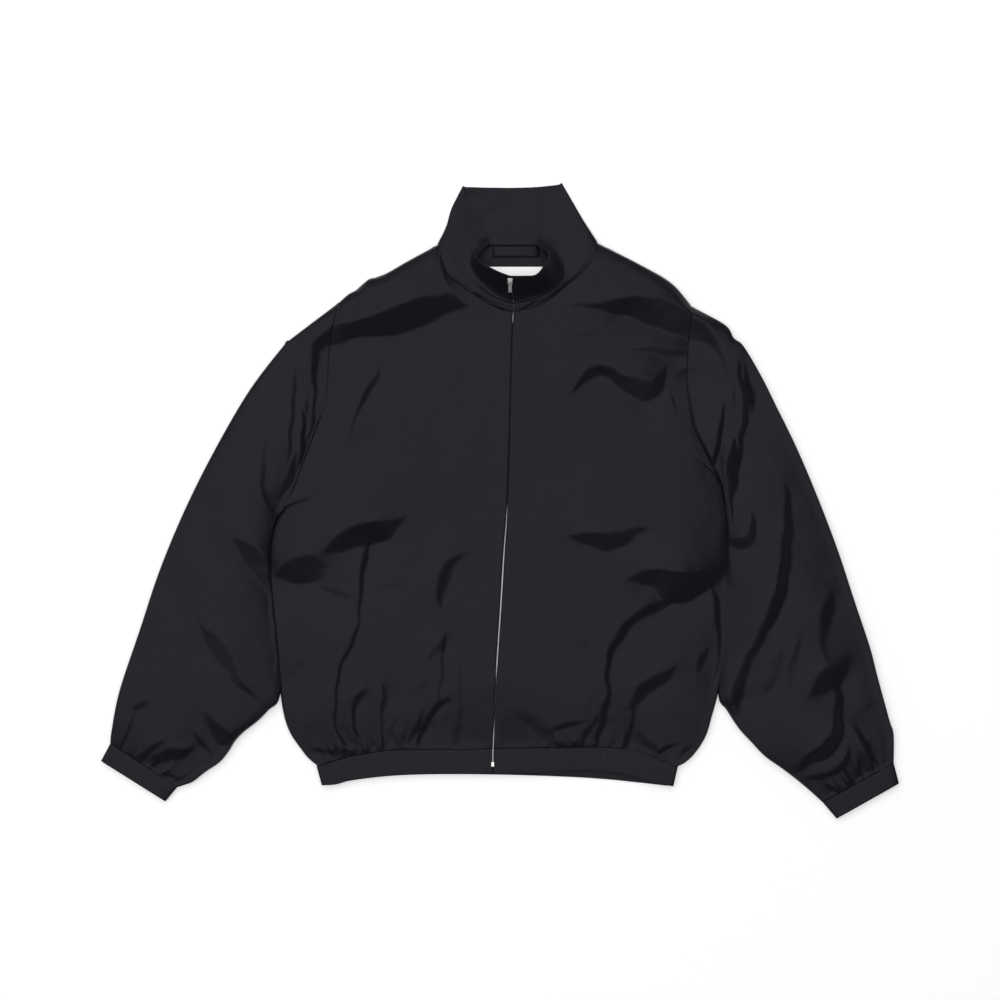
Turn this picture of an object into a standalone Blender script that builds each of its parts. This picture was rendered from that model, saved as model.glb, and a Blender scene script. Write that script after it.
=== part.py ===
"""Track jacket laid flat on its back, zipped to the top of a stand collar.

Lengths in the tables are millimetres: +X is the wearer's left, +Y points to the collar, +Z up from the
surface. Left and right are the wearer's. MM turns them into metres where a mesh is made.
"""

import math
from functools import partial

import bmesh
import bpy
import numpy as np
from mathutils import Matrix, Vector

MM = 0.001

# Driving sizes
WALL = 1.5              # one layer of the satin, with what it is backed by
BAND_WALL = 2.0         # hem band and cuffs, doubled over elastic
COLLAR_WALL = 1.6
SEAM_GAP = 0.95         # between two panels where they are sewn together
REST_GAP = 0.3          # between a piece and what it lies on
SIDE_RIM = 3.4          # height of a panel's rim where it meets the layer that lies on the floor
CHEST_RISE = 13.0       # height of the front over the floor at the armhole seam
BAND_TOP = 9.0          # height of the front layer of hem band and cuffs
NECK_RISE = 15.0        # height of the neck seam at the zip
EDGE_RISE = 4.5         # height of the rolled edges of sleeves and cuffs
BACK_NECK_Y = 319.5     # seam between back and collar
BACK_INSET = 1.6        # how far the back stays inside the rims of the fronts
FLOOR_TUCK = 5.0        # how much narrower a sleeve is where it lies on the surface than seen from above
SHOULDER_EASE = 0.8     # extra gap at the shoulder end of the armhole seam, where the sleeve folds over
COLLAR_SEAM_GAP = 1.35  # where the collar turns up steeply, measured along the surface
CUFF_SEAM_GAP = 0.6
CUFF_LENGTH = 24.0
CUFF_ON_FLOOR = 0.95    # width of a cuff where it lies on the surface, as a share of its width from above
BACK_CORNER = 5.0       # how far the back's lower corners stay clear of the hem band's turns
HEM_TURN = 2.5          # how far the hem band bulges out where it turns under at the sides
HEM_TURN_LOW = 5.0      # and how much less it does at its free edge

FRONT_GRID = (30, 27)   # cells from zip to side, and from hem to shoulder
SLEEVE_GRID = (20, 25)  # cells round the sleeve, and from armhole to cuff
HEM_CROWDING = 1.15     # above 1, the rows of the fronts lie closer together towards the hem
WRIST_CROWDING = 1.5    # and the rings of the sleeves towards the cuff
CUFF_GRID = (20, 2)
HEM_BAND_GRID = (55, 2)
COLLAR_GRID = (54, 6)

# How far in from its edge a panel reaches its full height
SIDE_ROLL = 20
ARMHOLE_ROLL = 12
NECK_ROLL = 10
SHOULDER_ROLL = 16
HEM_ROLL = 18
HEM_CORNER_ROLL = 14
HEAD_ROLL = 30
WRIST_ROLL = 26
# How far in from its edge a panel carries its folds and gathers at their full height
FOLDS_FROM_SIDE = 45
FOLDS_FROM_TOP = 30
FOLDS_FROM_HEM = 16
FOLDS_FROM_HEAD = 25
FOLDS_FROM_CUFF = 30
GATHERS_FROM_SEAM = 10
GATHERS_FROM_SIDE = 12
# How square a flattened tube is across: 2 is a half circle, and more is flatter
SLEEVE_SQUARENESS = 3.2
CUFF_SQUARENESS = 6
ZIP_LEVEL = 5               # how far beside the zip the fronts stay level
ZIP_EASE = 15               # and over what width the folds then begin

# Outlines, each from the hem or the cuff upwards, as (x, y)
SIDE = {
    "left": [(219.8, -333), (233.5, -326), (247.3, -311), (258.3, -292), (264, -272.5), (271.5, -245),
             (280, -199), (284.8, -152), (285.5, -85), (284.8, -25), (278.3, 17)],
    "right": [(-227, -332), (-239.5, -322), (-250.5, -308), (-261.5, -292), (-269, -272.5), (-273.8, -245),
              (-278.8, -187), (-285.5, -122), (-291.5, -72), (-288, -42), (-281.5, -24)],
}
ARMHOLE = {
    "left": [(278.3, 17), (266.5, 38), (248.5, 74.5), (240, 94.5), (235.5, 125), (233, 157), (235.5, 200),
             (240, 242)],
    "right": [(-281.5, -24), (-261, 5), (-244.5, 47), (-229.5, 87), (-219.5, 113), (-215.6, 138),
              (-214, 175), (-209.5, 213), (-201.5, 247)],
}
SHOULDER = {
    "left": [(240, 242), (213.8, 272), (170, 297.5), (121.3, 322)],
    "right": [(-201.5, 247), (-189, 258), (-176, 265), (-164, 276.5), (-147.5, 281), (-112, 301),
              (-77.5, 319.5)],
}
NECK = {
    "left": [(121.3, 322), (115, 302), (102.5, 285), (86.3, 270.6), (64.5, 253), (45, 242), (17, 235.6)],
    "right": [(-77.5, 319.5), (-71.6, 299.5), (-62.5, 280), (-41.6, 264), (-15, 246), (3, 238), (17, 235.6)],
}
HEM = {
    "left": [(-9, -310), (44, -309), (85, -309), (129, -308.5), (167.5, -312), (195, -322), (219.8, -333)],
    "right": [(-9, -310), (-45, -311), (-80, -311), (-135, -312), (-182, -319), (-205, -325), (-227, -332)],
}
SLEEVE_OUTER = {
    "left": [(240, 242), (281, 219.4), (292, 203), (304, 193), (326, 156), (345, 118), (370, 67), (395.6, 7),
             (421, -59.4), (443, -126), (462, -183), (471, -218), (486, -273), (491.5, -292), (491.5, -328)],
    "right": [(-201.5, 247), (-262.5, 200.6), (-268, 196), (-312.5, 138), (-356.3, 63), (-393.8, -12),
              (-425, -87), (-450, -162), (-475, -237), (-485, -287), (-486.5, -303.5)],
}
SLEEVE_INNER = {
    "left": [(279.5, 17), (286, -25), (286.8, -85), (286.2, -152), (281.4, -199), (273, -245), (283, -262),
             (297.5, -284), (312.5, -300.6), (330.6, -319.4), (351, -334), (369, -347.6), (387.5, -363),
             (403, -377)],
    "right": [(-283, -24), (-289.5, -42), (-293, -72), (-287, -122), (-280.3, -187), (-275.3, -245),
              (-289, -262), (-302.5, -275.6), (-320, -289.4), (-330.5, -300.6), (-339.3, -314.4),
              (-350, -327), (-367.5, -339), (-383, -351), (-392, -354.5), (-403, -358)],
}
CUFF_EDGE = {  # outer and inner corner of the cuff's free edge
    "left": [(498, -353), (420, -396.9)],
    "right": [(-498, -325), (-417.5, -375.5)],
}
ZIP_LINE = [(-9, -356), (-9, -330), (-8, -296), (-4.4, -213), (1, -130), (5, -64), (8.8, -11), (12, 90),
            (14, 180), (16, 226), (17, 245)]
ZIP_HALF_GAP = [(-356, 1.5), (-60, 1.4), (0, 0.9), (60, 0.5), (215, 0.5), (245, 0.9)]  # (y, half the gap)

# Height of the front over the floor along the zip, as (y, height)
FRONT_RISE = [(-312, 14), (-270, 16), (-200, 17), (-110, 17), (0, 15.5), (150, 15.5), (236, 15), (330, 13)]
# Height of a sleeve's top along its length, as (share of the length, height)
SLEEVE_RISE = [(0, 13), (0.12, 17), (0.3, 24), (0.6, 27), (0.85, 24), (1, 22)]

# Folds: a crest through three points, how far the cloth rises to it on its left and falls on its right,
# and its height. Walking along the crest, the steep face is on the right, and it is steepest at the crest.
FOLD_COLUMNS = ("x0", "y0", "x1", "y1", "x2", "y2", "rise", "fall", "height")
BODY_FOLDS = [
    (-230, 206, -160, 241, -42, 266, 50, 39, 13.8),
    (-239, 141, -236, 191, -215, 221, 26, 16, 6.9),
    (-196, 91, -179, 128, -158, 173, 38, 16, 4.6),
    (-271, -69, -250, -61, -225, -67, 35, 44, 6.9),
    (-218, -44, -181, -27, -120, -21, 42, 32, 9.2),
    (-202, -237, -182, -174, -170, -69, 32, 13, 5.8),
    (-190, -314, -205, -274, -204, -231, 22, 12, 5.8),
    (-82, -132, -70, -93, -50, -64, 42, 22, 5.8),
    (-90, -167, -78, -158, -65, -161, 24, 35, 4.6),
    (-108, -306, -88, -277, -69, -246, 22, 12, 4.6),
    (79, 247, 131, 246, 175, 258, 32, 16, 4.6),
    (148, 252, 206, 257, 268, 217, 38, 47, 13.8),
    (165, 193, 206, 191, 252, 194, 29, 21, 5.8),
    (90, 141, 105, 171, 132, 172, 26, 18, 5.8),
    (125, 173, 160, 156, 200, 142, 29, 29, 6.9),
    (190, 128, 198, 149, 209, 168, 19, 13, 4.6),
    (221, 168, 238, 174, 255, 166, 16, 23, 5.2),
    (91, -38, 135, -37, 188, -29, 35, 35, 6.9),
    (162, -88, 212, -81, 266, -84, 38, 39, 9.2),
    (132, -239, 145, -174, 210, -122, 38, 16, 6.9),
    (115, -302, 125, -277, 131, -252, 19, 14, 5.8),
    (160, -257, 178, -224, 218, -204, 29, 22, 5.8),
    (154, -302, 161, -277, 162, -249, 19, 12, 4.6),
]
SLEEVE_FOLDS = [
    (-261, 68, -259, 113, -254, 143, 19, 10, 4.6),
    (-251, 56, -249, 86, -248, 114, 13, 8, 5.8),
    (-288, -24, -302, 19, -299, 67, 26, 13, 5.8),
    (-325, -49, -310, -78, -292, -102, 29, 23, 5.8),
    (-379, -146, -354, -189, -310, -239, 32, 23, 6.9),
    (-362, -264, -348, -287, -329, -304, 22, 18, 5.8),
    (298, 63, 304, 119, 295, 176, 19, 12, 6.9),
    (262, 42, 271, 88, 276, 128, 16, 9, 5.8),
    (278, -3, 278, 38, 284, 74, 19, 29, 9.2),
    (289, -257, 301, -193, 330, -127, 42, 36, 10.3),
    (330, -131, 348, -62, 352, 13, 42, 17, 9.2),
    (289, -26, 302, -19, 316, -26, 19, 44, 6.9),
    (392, -129, 411, -122, 429, -129, 26, 39, 5.8),
    (409, -302, 411, -249, 405, -204, 26, 26, 8),
    (328, -237, 340, -209, 368, -193, 26, 23, 4.6),
]
# Gathers over the hem band: place along the hem, width, reach up the front, height
HEM_GATHERS = [
    (-215, 14, 26, 3.0), (-198, 13, 34, 3.5), (-184, 14, 70, 4.5), (-166, 15, 40, 3.0), (-149, 13, 60, 4.5),
    (-134, 13, 30, 4.0), (-119, 13, 34, 4.0), (-104, 14, 48, 4.5), (-86, 15, 30, 3.5), (-66, 18, 24, 2.5),
    (-45, 18, 20, 2.0), (42, 18, 26, 2.5), (58, 14, 30, 3.5), (73, 12, 26, 4.0), (87, 12, 24, 4.0),
    (101, 13, 36, 4.0), (117, 13, 50, 4.5), (134, 14, 34, 3.5), (152, 14, 50, 4.5), (170, 15, 30, 3.5),
    (188, 14, 26, 3.5), (204, 13, 22, 3.0),
]
# Gathers over the cuff: share across the sleeve from its inner edge, width, reach, height
CUFF_GATHERS = {
    "left": [(0.1, 0.09, 34, 3.0), (0.24, 0.1, 48, 4.0), (0.4, 0.1, 60, 4.5), (0.55, 0.09, 38, 4.0),
             (0.7, 0.1, 52, 4.5), (0.85, 0.09, 30, 3.0)],
    "right": [(0.12, 0.1, 40, 4.0), (0.28, 0.11, 60, 4.0), (0.43, 0.1, 30, 3.5), (0.57, 0.1, 44, 4.0),
              (0.72, 0.1, 34, 4.0), (0.87, 0.1, 54, 3.5)],
}

# Collar sections from the zip round to the fold at the side, each from the neck seam to the free edge:
# share of the neck seam from the zip, then crest, valley and free edge
COLLAR = {
    "left": [
        (0.00, (17.8, 243, 16.5), (18, 251, 18), (13.4, 277, 50)),
        (0.19, (43, 249, 17), (38, 256, 18), (30, 277, 49)),
        (0.35, (62, 258, 17), (56, 262, 18), (45, 279, 47)),
        (0.52, (82, 273, 17), (75, 275, 17), (55.5, 292, 41)),
        (0.70, (96, 288, 16.5), (76, 289, 15), (60.5, 304, 33)),
        (0.84, (103, 302, 15), (73, 302, 12), (57, 311, 25)),
        (0.94, (107, 315, 12), (73, 314, 10), (47, 317, 18)),
        (0.96, (107, 326, 9.5), (78, 327, 8.5), (48, 328, 11)),
        (0.975, (107, 334, 8), (83, 345, 7), (58, 353, 7)),
        (0.99, (108, 340, 6.5), (89, 360, 6), (68, 378, 6)),
    ],
    "right": [
        (0.00, (15.6, 243, 16.5), (14.6, 251, 18), (11.2, 277, 50)),
        (0.24, (-12, 252, 17), (-6, 258, 18), (-1, 282, 48)),
        (0.42, (-31, 266, 17), (-23, 269, 18), (-11, 287, 46)),
        (0.55, (-45, 275, 17), (-35, 279, 17), (-21, 293, 42)),
        (0.70, (-57, 289, 16.5), (-43, 291, 15), (-30, 303, 36)),
        (0.83, (-61, 303, 15), (-44, 303, 12), (-21, 309, 28)),
        (0.94, (-65, 315, 12), (-38, 316, 10), (-13, 319, 19)),
        (0.96, (-64, 324, 9.5), (-40, 328, 8.5), (-17, 331, 10.5)),
        (0.975, (-63, 334, 8), (-45, 347, 7), (-28, 356, 7)),
        (0.99, (-65, 340, 6.5), (-52, 358, 6), (-37, 376, 6)),
    ],
}
COLLAR_FOLD = {  # the section on the outline, where the collar turns over
    "left": ((120.6, 323, 4), (107.5, 343, 4), (92, 369, 4), (76, 395.5, 4)),
    "right": ((-77, 320.5, 4), (-66.5, 342, 4), (-60, 364, 4), (-45.5, 391.5, 4)),
}
COLLAR_BACK = [  # the layer on the floor, from left to right: x at the seam, x and y at the free edge
    (116.5, 72.5, 394.5), (85, 50, 392), (53, 31, 391), (22, 12, 390.6), (-10, -7, 390.8), (-42, -24, 391),
    (-73, -42, 391.6),
]
COLLAR_FLOOR = COLLAR_WALL / 2 + REST_GAP

HEM_BAND = [  # front layer from left to right: top edge, then free edge
    ((217.6, -336.3), (214, -356.3)), ((195, -324), (184, -350.5)), ((167, -314), (158, -342)),
    ((129, -310.3), (118, -337)), ((85, -310.5), (78, -337.5)), ((44, -310.8), (42, -340)),
    ((-7.6, -311.5), (-7.4, -341)),
]
HEM_BAND_RIGHT = [
    ((-10.4, -311.5), (-10.8, -341)), ((-45, -312.5), (-45, -341)), ((-80, -312.5), (-80, -340.5)),
    ((-135, -313.7), (-135, -343)), ((-182, -320.5), (-181, -348)), ((-205, -326.5), (-204, -354)),
    ((-225.5, -334.4), (-220, -355.3)),
]
HEM_BACK = [  # back layer from right to left
    ((-218, -331), (-213, -355.2)), ((-180, -321), (-180, -349)), ((-135, -315), (-135, -344)),
    ((-80, -313), (-80, -342)), ((0, -312), (0, -342.5)), ((80, -312), (80, -345)),
    ((130, -312), (130, -348)), ((170, -316), (170, -352)), ((212, -331), (208, -356.3)),
]

LABEL_SIZE = (70, 38, 1.0)
LABEL_CENTRE = (18, 273)
LOOP_SIZE = (60, 14, 1.2)
LOOP_CENTRE = (18.5, 309.5)
LOOP_ARCH = 6.0             # how far the hanger loop stands off the back at its middle
TAPE_WIDTH = 6.5
TAPE_WALL = 1.1
TAPE_IN_BAND = [(-338, 5.7), (-325, 5.7), (-313, 5.7), (-307, 6.2)]  # (y, height)
TAPE_UP_COLLAR = [0.5, 0.667, 0.833, 0.97]  # shares of the collar's height
TAPE_FIRST_ROW = 2          # row of the front's grid where the tape comes up out of the hem band
TAPE_REST = 0.5             # between the tape and the cloth that covers it
TAPE_HALF_GAP = 1.5         # half the gap between the two tapes in the band
TAPE_HALF_GAP_AT_NECK = 1.0
FRONT_WIDTH = 262           # mean width of one front
COLLAR_TAPE_SHARE = 0.0083  # of the way round the collar, under the tape
NECK_TAPE_DROP = 3.2        # the tape's middle under the neck seam
TAPE_NECK_Y = 240           # where it passes under that seam

# Zip slider: body, the bridge on it, and the pull tab whose end bar turns under the bridge. Each size is
# across the zip, along it, and out of the collar's face.
SLIDER_SIZE = (7.0, 9.0, 2.6)
BRIDGE_SIZE = (1.4, 6.4, 3.3)
BRIDGE_THICKNESS = 1.0
PULL_SIZE = (4.6, 19.0, 1.3)
PULL_BAR = 1.3              # width of the bar that turns under the bridge
PULL_EYE = (2.4, 4.0)       # hole in the pull tab beside the bar
SLIDER_FACE = ((14.6, 263, 34), (12.5, 275, 48))  # the collar's face under the slider, from low to high
SLIDER_BELOW_EDGE = 3.0
SLIDER_REST = 0.5           # between the slider, or the stop, and the cloth that it lies on
BRIDGE_SINK = 0.5           # how far the bridge goes into the body
STOP_SIZE = (4.2, 6.0, 2.0)
STOP_CENTRE = (-9, -329)


def along(points, count=400):
    """A smooth curve through the points, as positions at equal steps of its length."""
    p = np.array(points, float)
    ends = np.vstack([2 * p[0] - p[1], p, 2 * p[-1] - p[-2]])
    t = np.linspace(0, 1, 24, endpoint=False)[:, None]
    runs = []
    for a, b, c, d in zip(ends, ends[1:], ends[2:], ends[3:]):
        runs.append(0.5 * (2 * b + (c - a) * t + (2 * a - 5 * b + 4 * c - d) * t**2
                           + (3 * b - 3 * c + d - a) * t**3))
    dense = np.vstack([*runs, p[-1:]])
    far = np.concatenate([[0], np.cumsum(np.linalg.norm(np.diff(dense, axis=0), axis=1))])
    steps = np.linspace(0, far[-1], count)
    return np.column_stack([np.interp(steps, far, dense[:, k]) for k in range(p.shape[1])])


def read(curve, share):
    """The point of a sampled curve at a share of its length."""
    place = np.linspace(0, 1, len(curve))
    return np.stack([np.interp(share, place, curve[:, k]) for k in range(curve.shape[1])], axis=-1)


def length(curve):
    return np.linalg.norm(np.diff(curve, axis=0), axis=1).sum()


def patch(low, high, start, end, u, start_share, end_share, low_weight):
    """A surface between four edges: low and high run with u, start and end upwards at their own shares."""
    a, b = u[..., None], 1 - low_weight[..., None]
    corners = ((1 - a) * (1 - b) * low[0] + a * (1 - b) * low[-1]
               + (1 - a) * b * high[0] + a * b * high[-1])
    return ((1 - b) * read(low, u) + b * read(high, u)
            + (1 - a) * read(start, start_share) + a * read(end, end_share) - corners)


def roll(distance, radius):
    """How far a cloth has risen at this distance from a rolled edge, from 0 to 1."""
    near = np.clip(distance / radius, 0, 1)
    return np.sqrt(1 - (1 - near) ** 2)


def arch(share, squareness=4.0):
    """The height of a flattened tube across its width, from 0 at both edges to 1."""
    return (1 - np.abs(2 * np.clip(share, 0, 1) - 1) ** squareness) ** (1 / squareness)


def table(rows, at):
    places, values = np.array(rows, float).T
    return np.interp(at, places, values)


def zip_x(y):
    line = along(ZIP_LINE)
    return np.interp(y, line[:, 1], line[:, 0])


def fold_height(folds, xy):
    """What the folds add to the height at each point."""
    added = np.zeros(xy.shape[:-1])
    for row in folds:
        fold = dict(zip(FOLD_COLUMNS, row))
        crest = along([(fold["x0"], fold["y0"]), (fold["x1"], fold["y1"]), (fold["x2"], fold["y2"])], 25)
        gap = xy[..., None, :] - crest
        nearest = np.argmin((gap**2).sum(-1), axis=-1)
        offset = np.take_along_axis(gap, nearest[..., None, None], axis=-2)[..., 0, :]
        heading = np.gradient(crest, axis=0)[nearest]
        heading /= np.linalg.norm(heading, axis=-1, keepdims=True)
        right = offset[..., 0] * heading[..., 1] - offset[..., 1] * heading[..., 0]
        distance = np.linalg.norm(offset, axis=-1)
        reach = np.where(right > 0, fold["fall"], fold["rise"])
        across = np.clip(1 - distance / reach, 0, 1)
        profile = np.where(right > 0, across**2, across**2 * (3 - 2 * across))
        taper = np.sin(np.pi * nearest / (len(crest) - 1))
        added += fold["height"] * profile * taper
    return added


def gather_height(places, rows, distance):
    """Ridges that start at a gathered seam and die away from it."""
    added = np.zeros(places.shape)
    for place, width, reach, height in rows:
        across = np.clip(1 - np.abs(places - place) / (width / 2), 0, 1)
        added += height * (across**2 * (3 - 2 * across)) * np.exp(-np.maximum(distance, 0) / (reach * 0.6))
    return added


def neck_height(share):
    """Height of the neck seam, from the zip at 0 to the shoulder at 1."""
    return SIDE_RIM + (NECK_RISE - SIDE_RIM) * np.cos(np.pi / 2 * share**2)


def armhole_height(share):
    return SIDE_RIM + (CHEST_RISE - SIDE_RIM) * arch(share)


def away_from_zip(xy):
    """0 on the zip, where the fronts lie level, and 1 from 20 mm beside it."""
    near = np.clip((np.abs(xy[..., 0] - zip_x(xy[..., 1])) - ZIP_LEVEL) / ZIP_EASE, 0, 1)
    return near**2 * (3 - 2 * near)


def front_surface(side, u, v):
    """Outer face of one front, at shares u from zip to side and v from hem to shoulder."""
    v = v**HEM_CROWDING
    sign = 1 if side == "left" else -1
    seam = along(ARMHOLE[side])
    flank = along(SIDE[side])
    outer = along(np.vstack([flank[:-1:12], seam[::12]])) - [sign * SEAM_GAP / 2, 0]
    underarm = length(flank) / (length(flank) + length(seam))
    neck = along(NECK[side][::-1])
    shoulder = along(SHOULDER[side][::-1])
    neck_end = length(neck) / (length(neck) + length(shoulder))
    top = along(np.vstack([neck[:-1:12], shoulder[::12]]))
    rows = np.linspace(-310, 235.6, 200)
    middle = np.column_stack([zip_x(rows) + sign * table(ZIP_HALF_GAP, rows), rows])
    low = along(HEM[side])
    outer[0], top[-1] = low[-1], outer[-1]
    top[0] = middle[-1]
    low[0] = middle[0]
    xy = patch(low, top, middle, outer, u, v, v, 1 - v)
    width = np.linalg.norm(read(outer, v) - read(middle, v), axis=-1)
    from_side = (1 - u) * width
    from_top = np.linalg.norm(xy - read(top, u), axis=-1)
    from_hem = np.linalg.norm(xy - read(low, u), axis=-1)
    in_armhole = np.clip((v - underarm) / (1 - underarm), 0, 1)
    side_rim = np.where(v < underarm, SIDE_RIM, armhole_height(in_armhole))
    top_rim = np.where(u < neck_end, neck_height(np.clip(u / neck_end, 0, 1)), SIDE_RIM)
    top_roll = NECK_ROLL + (SHOULDER_ROLL - NECK_ROLL) * np.clip((u - neck_end) / 0.1 + 0.5, 0, 1)
    level = table(FRONT_RISE, xy[..., 1])
    loose = roll(from_side, FOLDS_FROM_SIDE) * roll(from_top, FOLDS_FROM_TOP) * roll(from_hem, FOLDS_FROM_HEM)
    level = level + loose * away_from_zip(xy) * fold_height(BODY_FOLDS, xy)
    rise = side_rim + (level - side_rim) * roll(from_side, np.where(v < underarm, SIDE_ROLL, ARMHOLE_ROLL))
    rise = top_rim + (rise - top_rim) * roll(from_top, top_roll)
    hem_rim = SIDE_RIM + (BAND_TOP - SIDE_RIM) * roll(from_side, HEM_CORNER_ROLL)
    rise = hem_rim + (rise - hem_rim) * roll(from_hem, HEM_ROLL)
    gathers = gather_height(xy[..., 0], HEM_GATHERS, from_hem)
    rise = rise + gathers * roll(from_hem, GATHERS_FROM_SEAM) * roll(from_side, GATHERS_FROM_SIDE)
    return np.concatenate([xy, rise[..., None]], axis=-1)


def round_tube(turn):
    """Which part of one turn lies on top, and the share across the flattened tube."""
    on_top = (turn <= 0.5) | (turn > 1 - 1e-6)
    return on_top, np.where(turn <= 0.5, 2 * turn, 2 - 2 * turn)


def sleeve_surface(side, turn, down):
    """Outer face of one sleeve: turn goes once round from the inner edge over the top, down to the cuff."""
    sign = 1 if side == "left" else -1
    head = along(ARMHOLE[side]) + [sign * SEAM_GAP / 2, 0]
    inner, outer = along(SLEEVE_INNER[side]), along(SLEEVE_OUTER[side])
    wrist = np.linspace(inner[-1], outer[-1], 50)
    ease = [sign * (SEAM_GAP / 2 + SHOULDER_EASE), 0]
    outer = outer + ease * np.linspace(1, 0, len(outer))[:, None]
    inner[0] = head[0]
    head[-1] = outer[0]
    on_top, share = round_tube(turn)
    share = 0.5 - 0.5 * np.cos(np.pi * share) * (0.35 + 0.65 * np.abs(np.cos(np.pi * share)))
    down = 1 - (1 - down) ** WRIST_CROWDING
    inner_share = down**1.8
    xy = patch(head, wrist, inner, outer, share, inner_share, down, (1 - down) ** 2)
    from_head = np.linalg.norm(xy - read(head, share), axis=-1)
    from_cuff = np.linalg.norm(xy - read(wrist, share), axis=-1)
    level = table(SLEEVE_RISE, down)
    loose = arch(share, 2.0) * roll(from_cuff, FOLDS_FROM_CUFF) * np.clip(from_head / FOLDS_FROM_HEAD, 0, 1)
    level = level + loose * fold_height(SLEEVE_FOLDS, xy)
    rise = EDGE_RISE + (level - EDGE_RISE) * arch(share, SLEEVE_SQUARENESS)
    rise = armhole_height(share) + (rise - armhole_height(share)) * np.clip(from_head / HEAD_ROLL, 0, 1)
    wrist_rise = EDGE_RISE + (BAND_TOP - EDGE_RISE) * arch(share, CUFF_SQUARENESS)
    rise = wrist_rise + (rise - wrist_rise) * roll(from_cuff, WRIST_ROLL)
    gathers = gather_height(share, CUFF_GATHERS[side], from_cuff)
    rise = rise + gathers * roll(from_cuff, GATHERS_FROM_SIDE) * arch(share, 2.0)
    middle = (read(inner, inner_share) + read(outer, down)) / 2
    tuck = 1 - FLOOR_TUCK / np.linalg.norm(read(outer, down) - read(inner, inner_share), axis=-1)
    floor_xy = middle + (xy - middle) * np.clip(tuck, 0.8, 1)[..., None]
    xy = np.where(on_top[..., None], xy, floor_xy)
    return np.concatenate([xy, np.where(on_top, rise, 0.0)[..., None]], axis=-1)


def cuff_surface(side, turn, down):
    """Outer face of one cuff, in line with the end of its sleeve."""
    inner_top, outer_top = SLEEVE_INNER[side][-1], SLEEVE_OUTER[side][-1]
    outer_low, inner_low = CUFF_EDGE[side]
    top = np.linspace(inner_top, outer_top, 50)
    low = np.linspace(inner_low, outer_low, 50)
    on_top, share = round_tube(turn)
    share = 0.5 - 0.5 * np.cos(np.pi * share)
    start = CUFF_SEAM_GAP / CUFF_LENGTH
    fall = (start + (1 - start) * down)[..., None]
    xy = read(top, share) * (1 - fall) + read(low, share) * fall
    rise = EDGE_RISE + (BAND_TOP - EDGE_RISE) * arch(share, CUFF_SQUARENESS)
    middle = top.mean(0) * (1 - fall) + low.mean(0) * fall
    xy = np.where(on_top[..., None], xy, middle + (xy - middle) * CUFF_ON_FLOOR)
    return np.concatenate([xy, np.where(on_top, rise, 0.0)[..., None]], axis=-1)


def collar_surface(round_neck, up):
    """Middle of the collar, at shares round the neck from the left of the zip to its right, and up."""
    sections = []
    for side in ("left", "right"):
        neck = along(NECK[side][::-1])
        half = []
        for share, crest, valley, edge in COLLAR[side]:
            seam_xy = read(neck, share)
            inwards = np.array(crest[:2]) - seam_xy
            seam_xy = seam_xy + inwards / np.linalg.norm(inwards) * COLLAR_SEAM_GAP
            half.append([(*seam_xy, float(neck_height(share)) - COLLAR_WALL / 2), crest, valley, edge])
        half[0][0] = (half[0][1][0], 237, NECK_RISE - COLLAR_WALL / 2)
        half.append(list(COLLAR_FOLD[side]))
        sections.append(half)
    back = []
    for seam_x, edge_x, edge_y in COLLAR_BACK:
        seam, edge = np.array([seam_x, BACK_NECK_Y + SEAM_GAP / 2]), np.array([edge_x, edge_y])
        back.append([(*(seam + (edge - seam) * part), COLLAR_FLOOR) for part in (0, 1 / 3, 2 / 3, 1)])
    rows = np.array(sections[0] + back + sections[1][::-1], float)
    place = np.linspace(0, 1, len(rows))
    smooth = np.stack([np.stack([smooth_read(place, rows[:, k, axis], round_neck) for axis in range(3)], -1)
                       for k in range(4)], axis=-2)
    return bend(smooth, up)


def smooth_read(places, values, at):
    """Catmull-Rom through values at equally spaced places, read at any share."""
    step = at * (len(places) - 1)
    i = np.clip(np.floor(step).astype(int), 0, len(places) - 2)
    t = step - i
    padded = np.concatenate([[2 * values[0] - values[1]], values, [2 * values[-1] - values[-2]]])
    a, b, c, d = (padded[i + k] for k in range(4))
    return 0.5 * (2 * b + (c - a) * t + (2 * a - 5 * b + 4 * c - d) * t**2 + (3 * b - 3 * c + d - a) * t**3)


def bend(knots, up):
    """A smooth line through four knots, read at a share up it."""
    padded = np.concatenate([2 * knots[..., :1, :] - knots[..., 1:2, :], knots,
                             2 * knots[..., -1:, :] - knots[..., -2:-1, :]], axis=-2)
    step = up * 3
    i = np.clip(np.floor(step).astype(int), 0, 2)
    t = (step - i)[..., None]
    a, b, c, d = (np.take_along_axis(padded, (i + k)[..., None, None], axis=-2)[..., 0, :] for k in range(4))
    return 0.5 * (2 * b + (c - a) * t + (2 * a - 5 * b + 4 * c - d) * t**2 + (3 * b - 3 * c + d - a) * t**3)


def material(name, colour, roughness, metallic=0.0):
    made = bpy.data.materials.new(name)
    made.use_nodes = True
    shader = made.node_tree.nodes["Principled BSDF"]
    shader.inputs["Base Color"].default_value = (*colour, 1)
    shader.inputs["Roughness"].default_value = roughness
    shader.inputs["Metallic"].default_value = metallic
    made.diffuse_color = (*colour, 1)
    return made


def add_object(name, bm, finish, where=None):
    mesh = bpy.data.meshes.new(name)
    bm.to_mesh(mesh)
    bm.free()
    mesh.materials.append(finish)
    mesh.shade_smooth()
    mesh.set_sharp_from_angle(angle=math.radians(50))
    made = bpy.data.objects.new(name, mesh)
    (where or jacket).objects.link(made)
    return made


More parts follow.
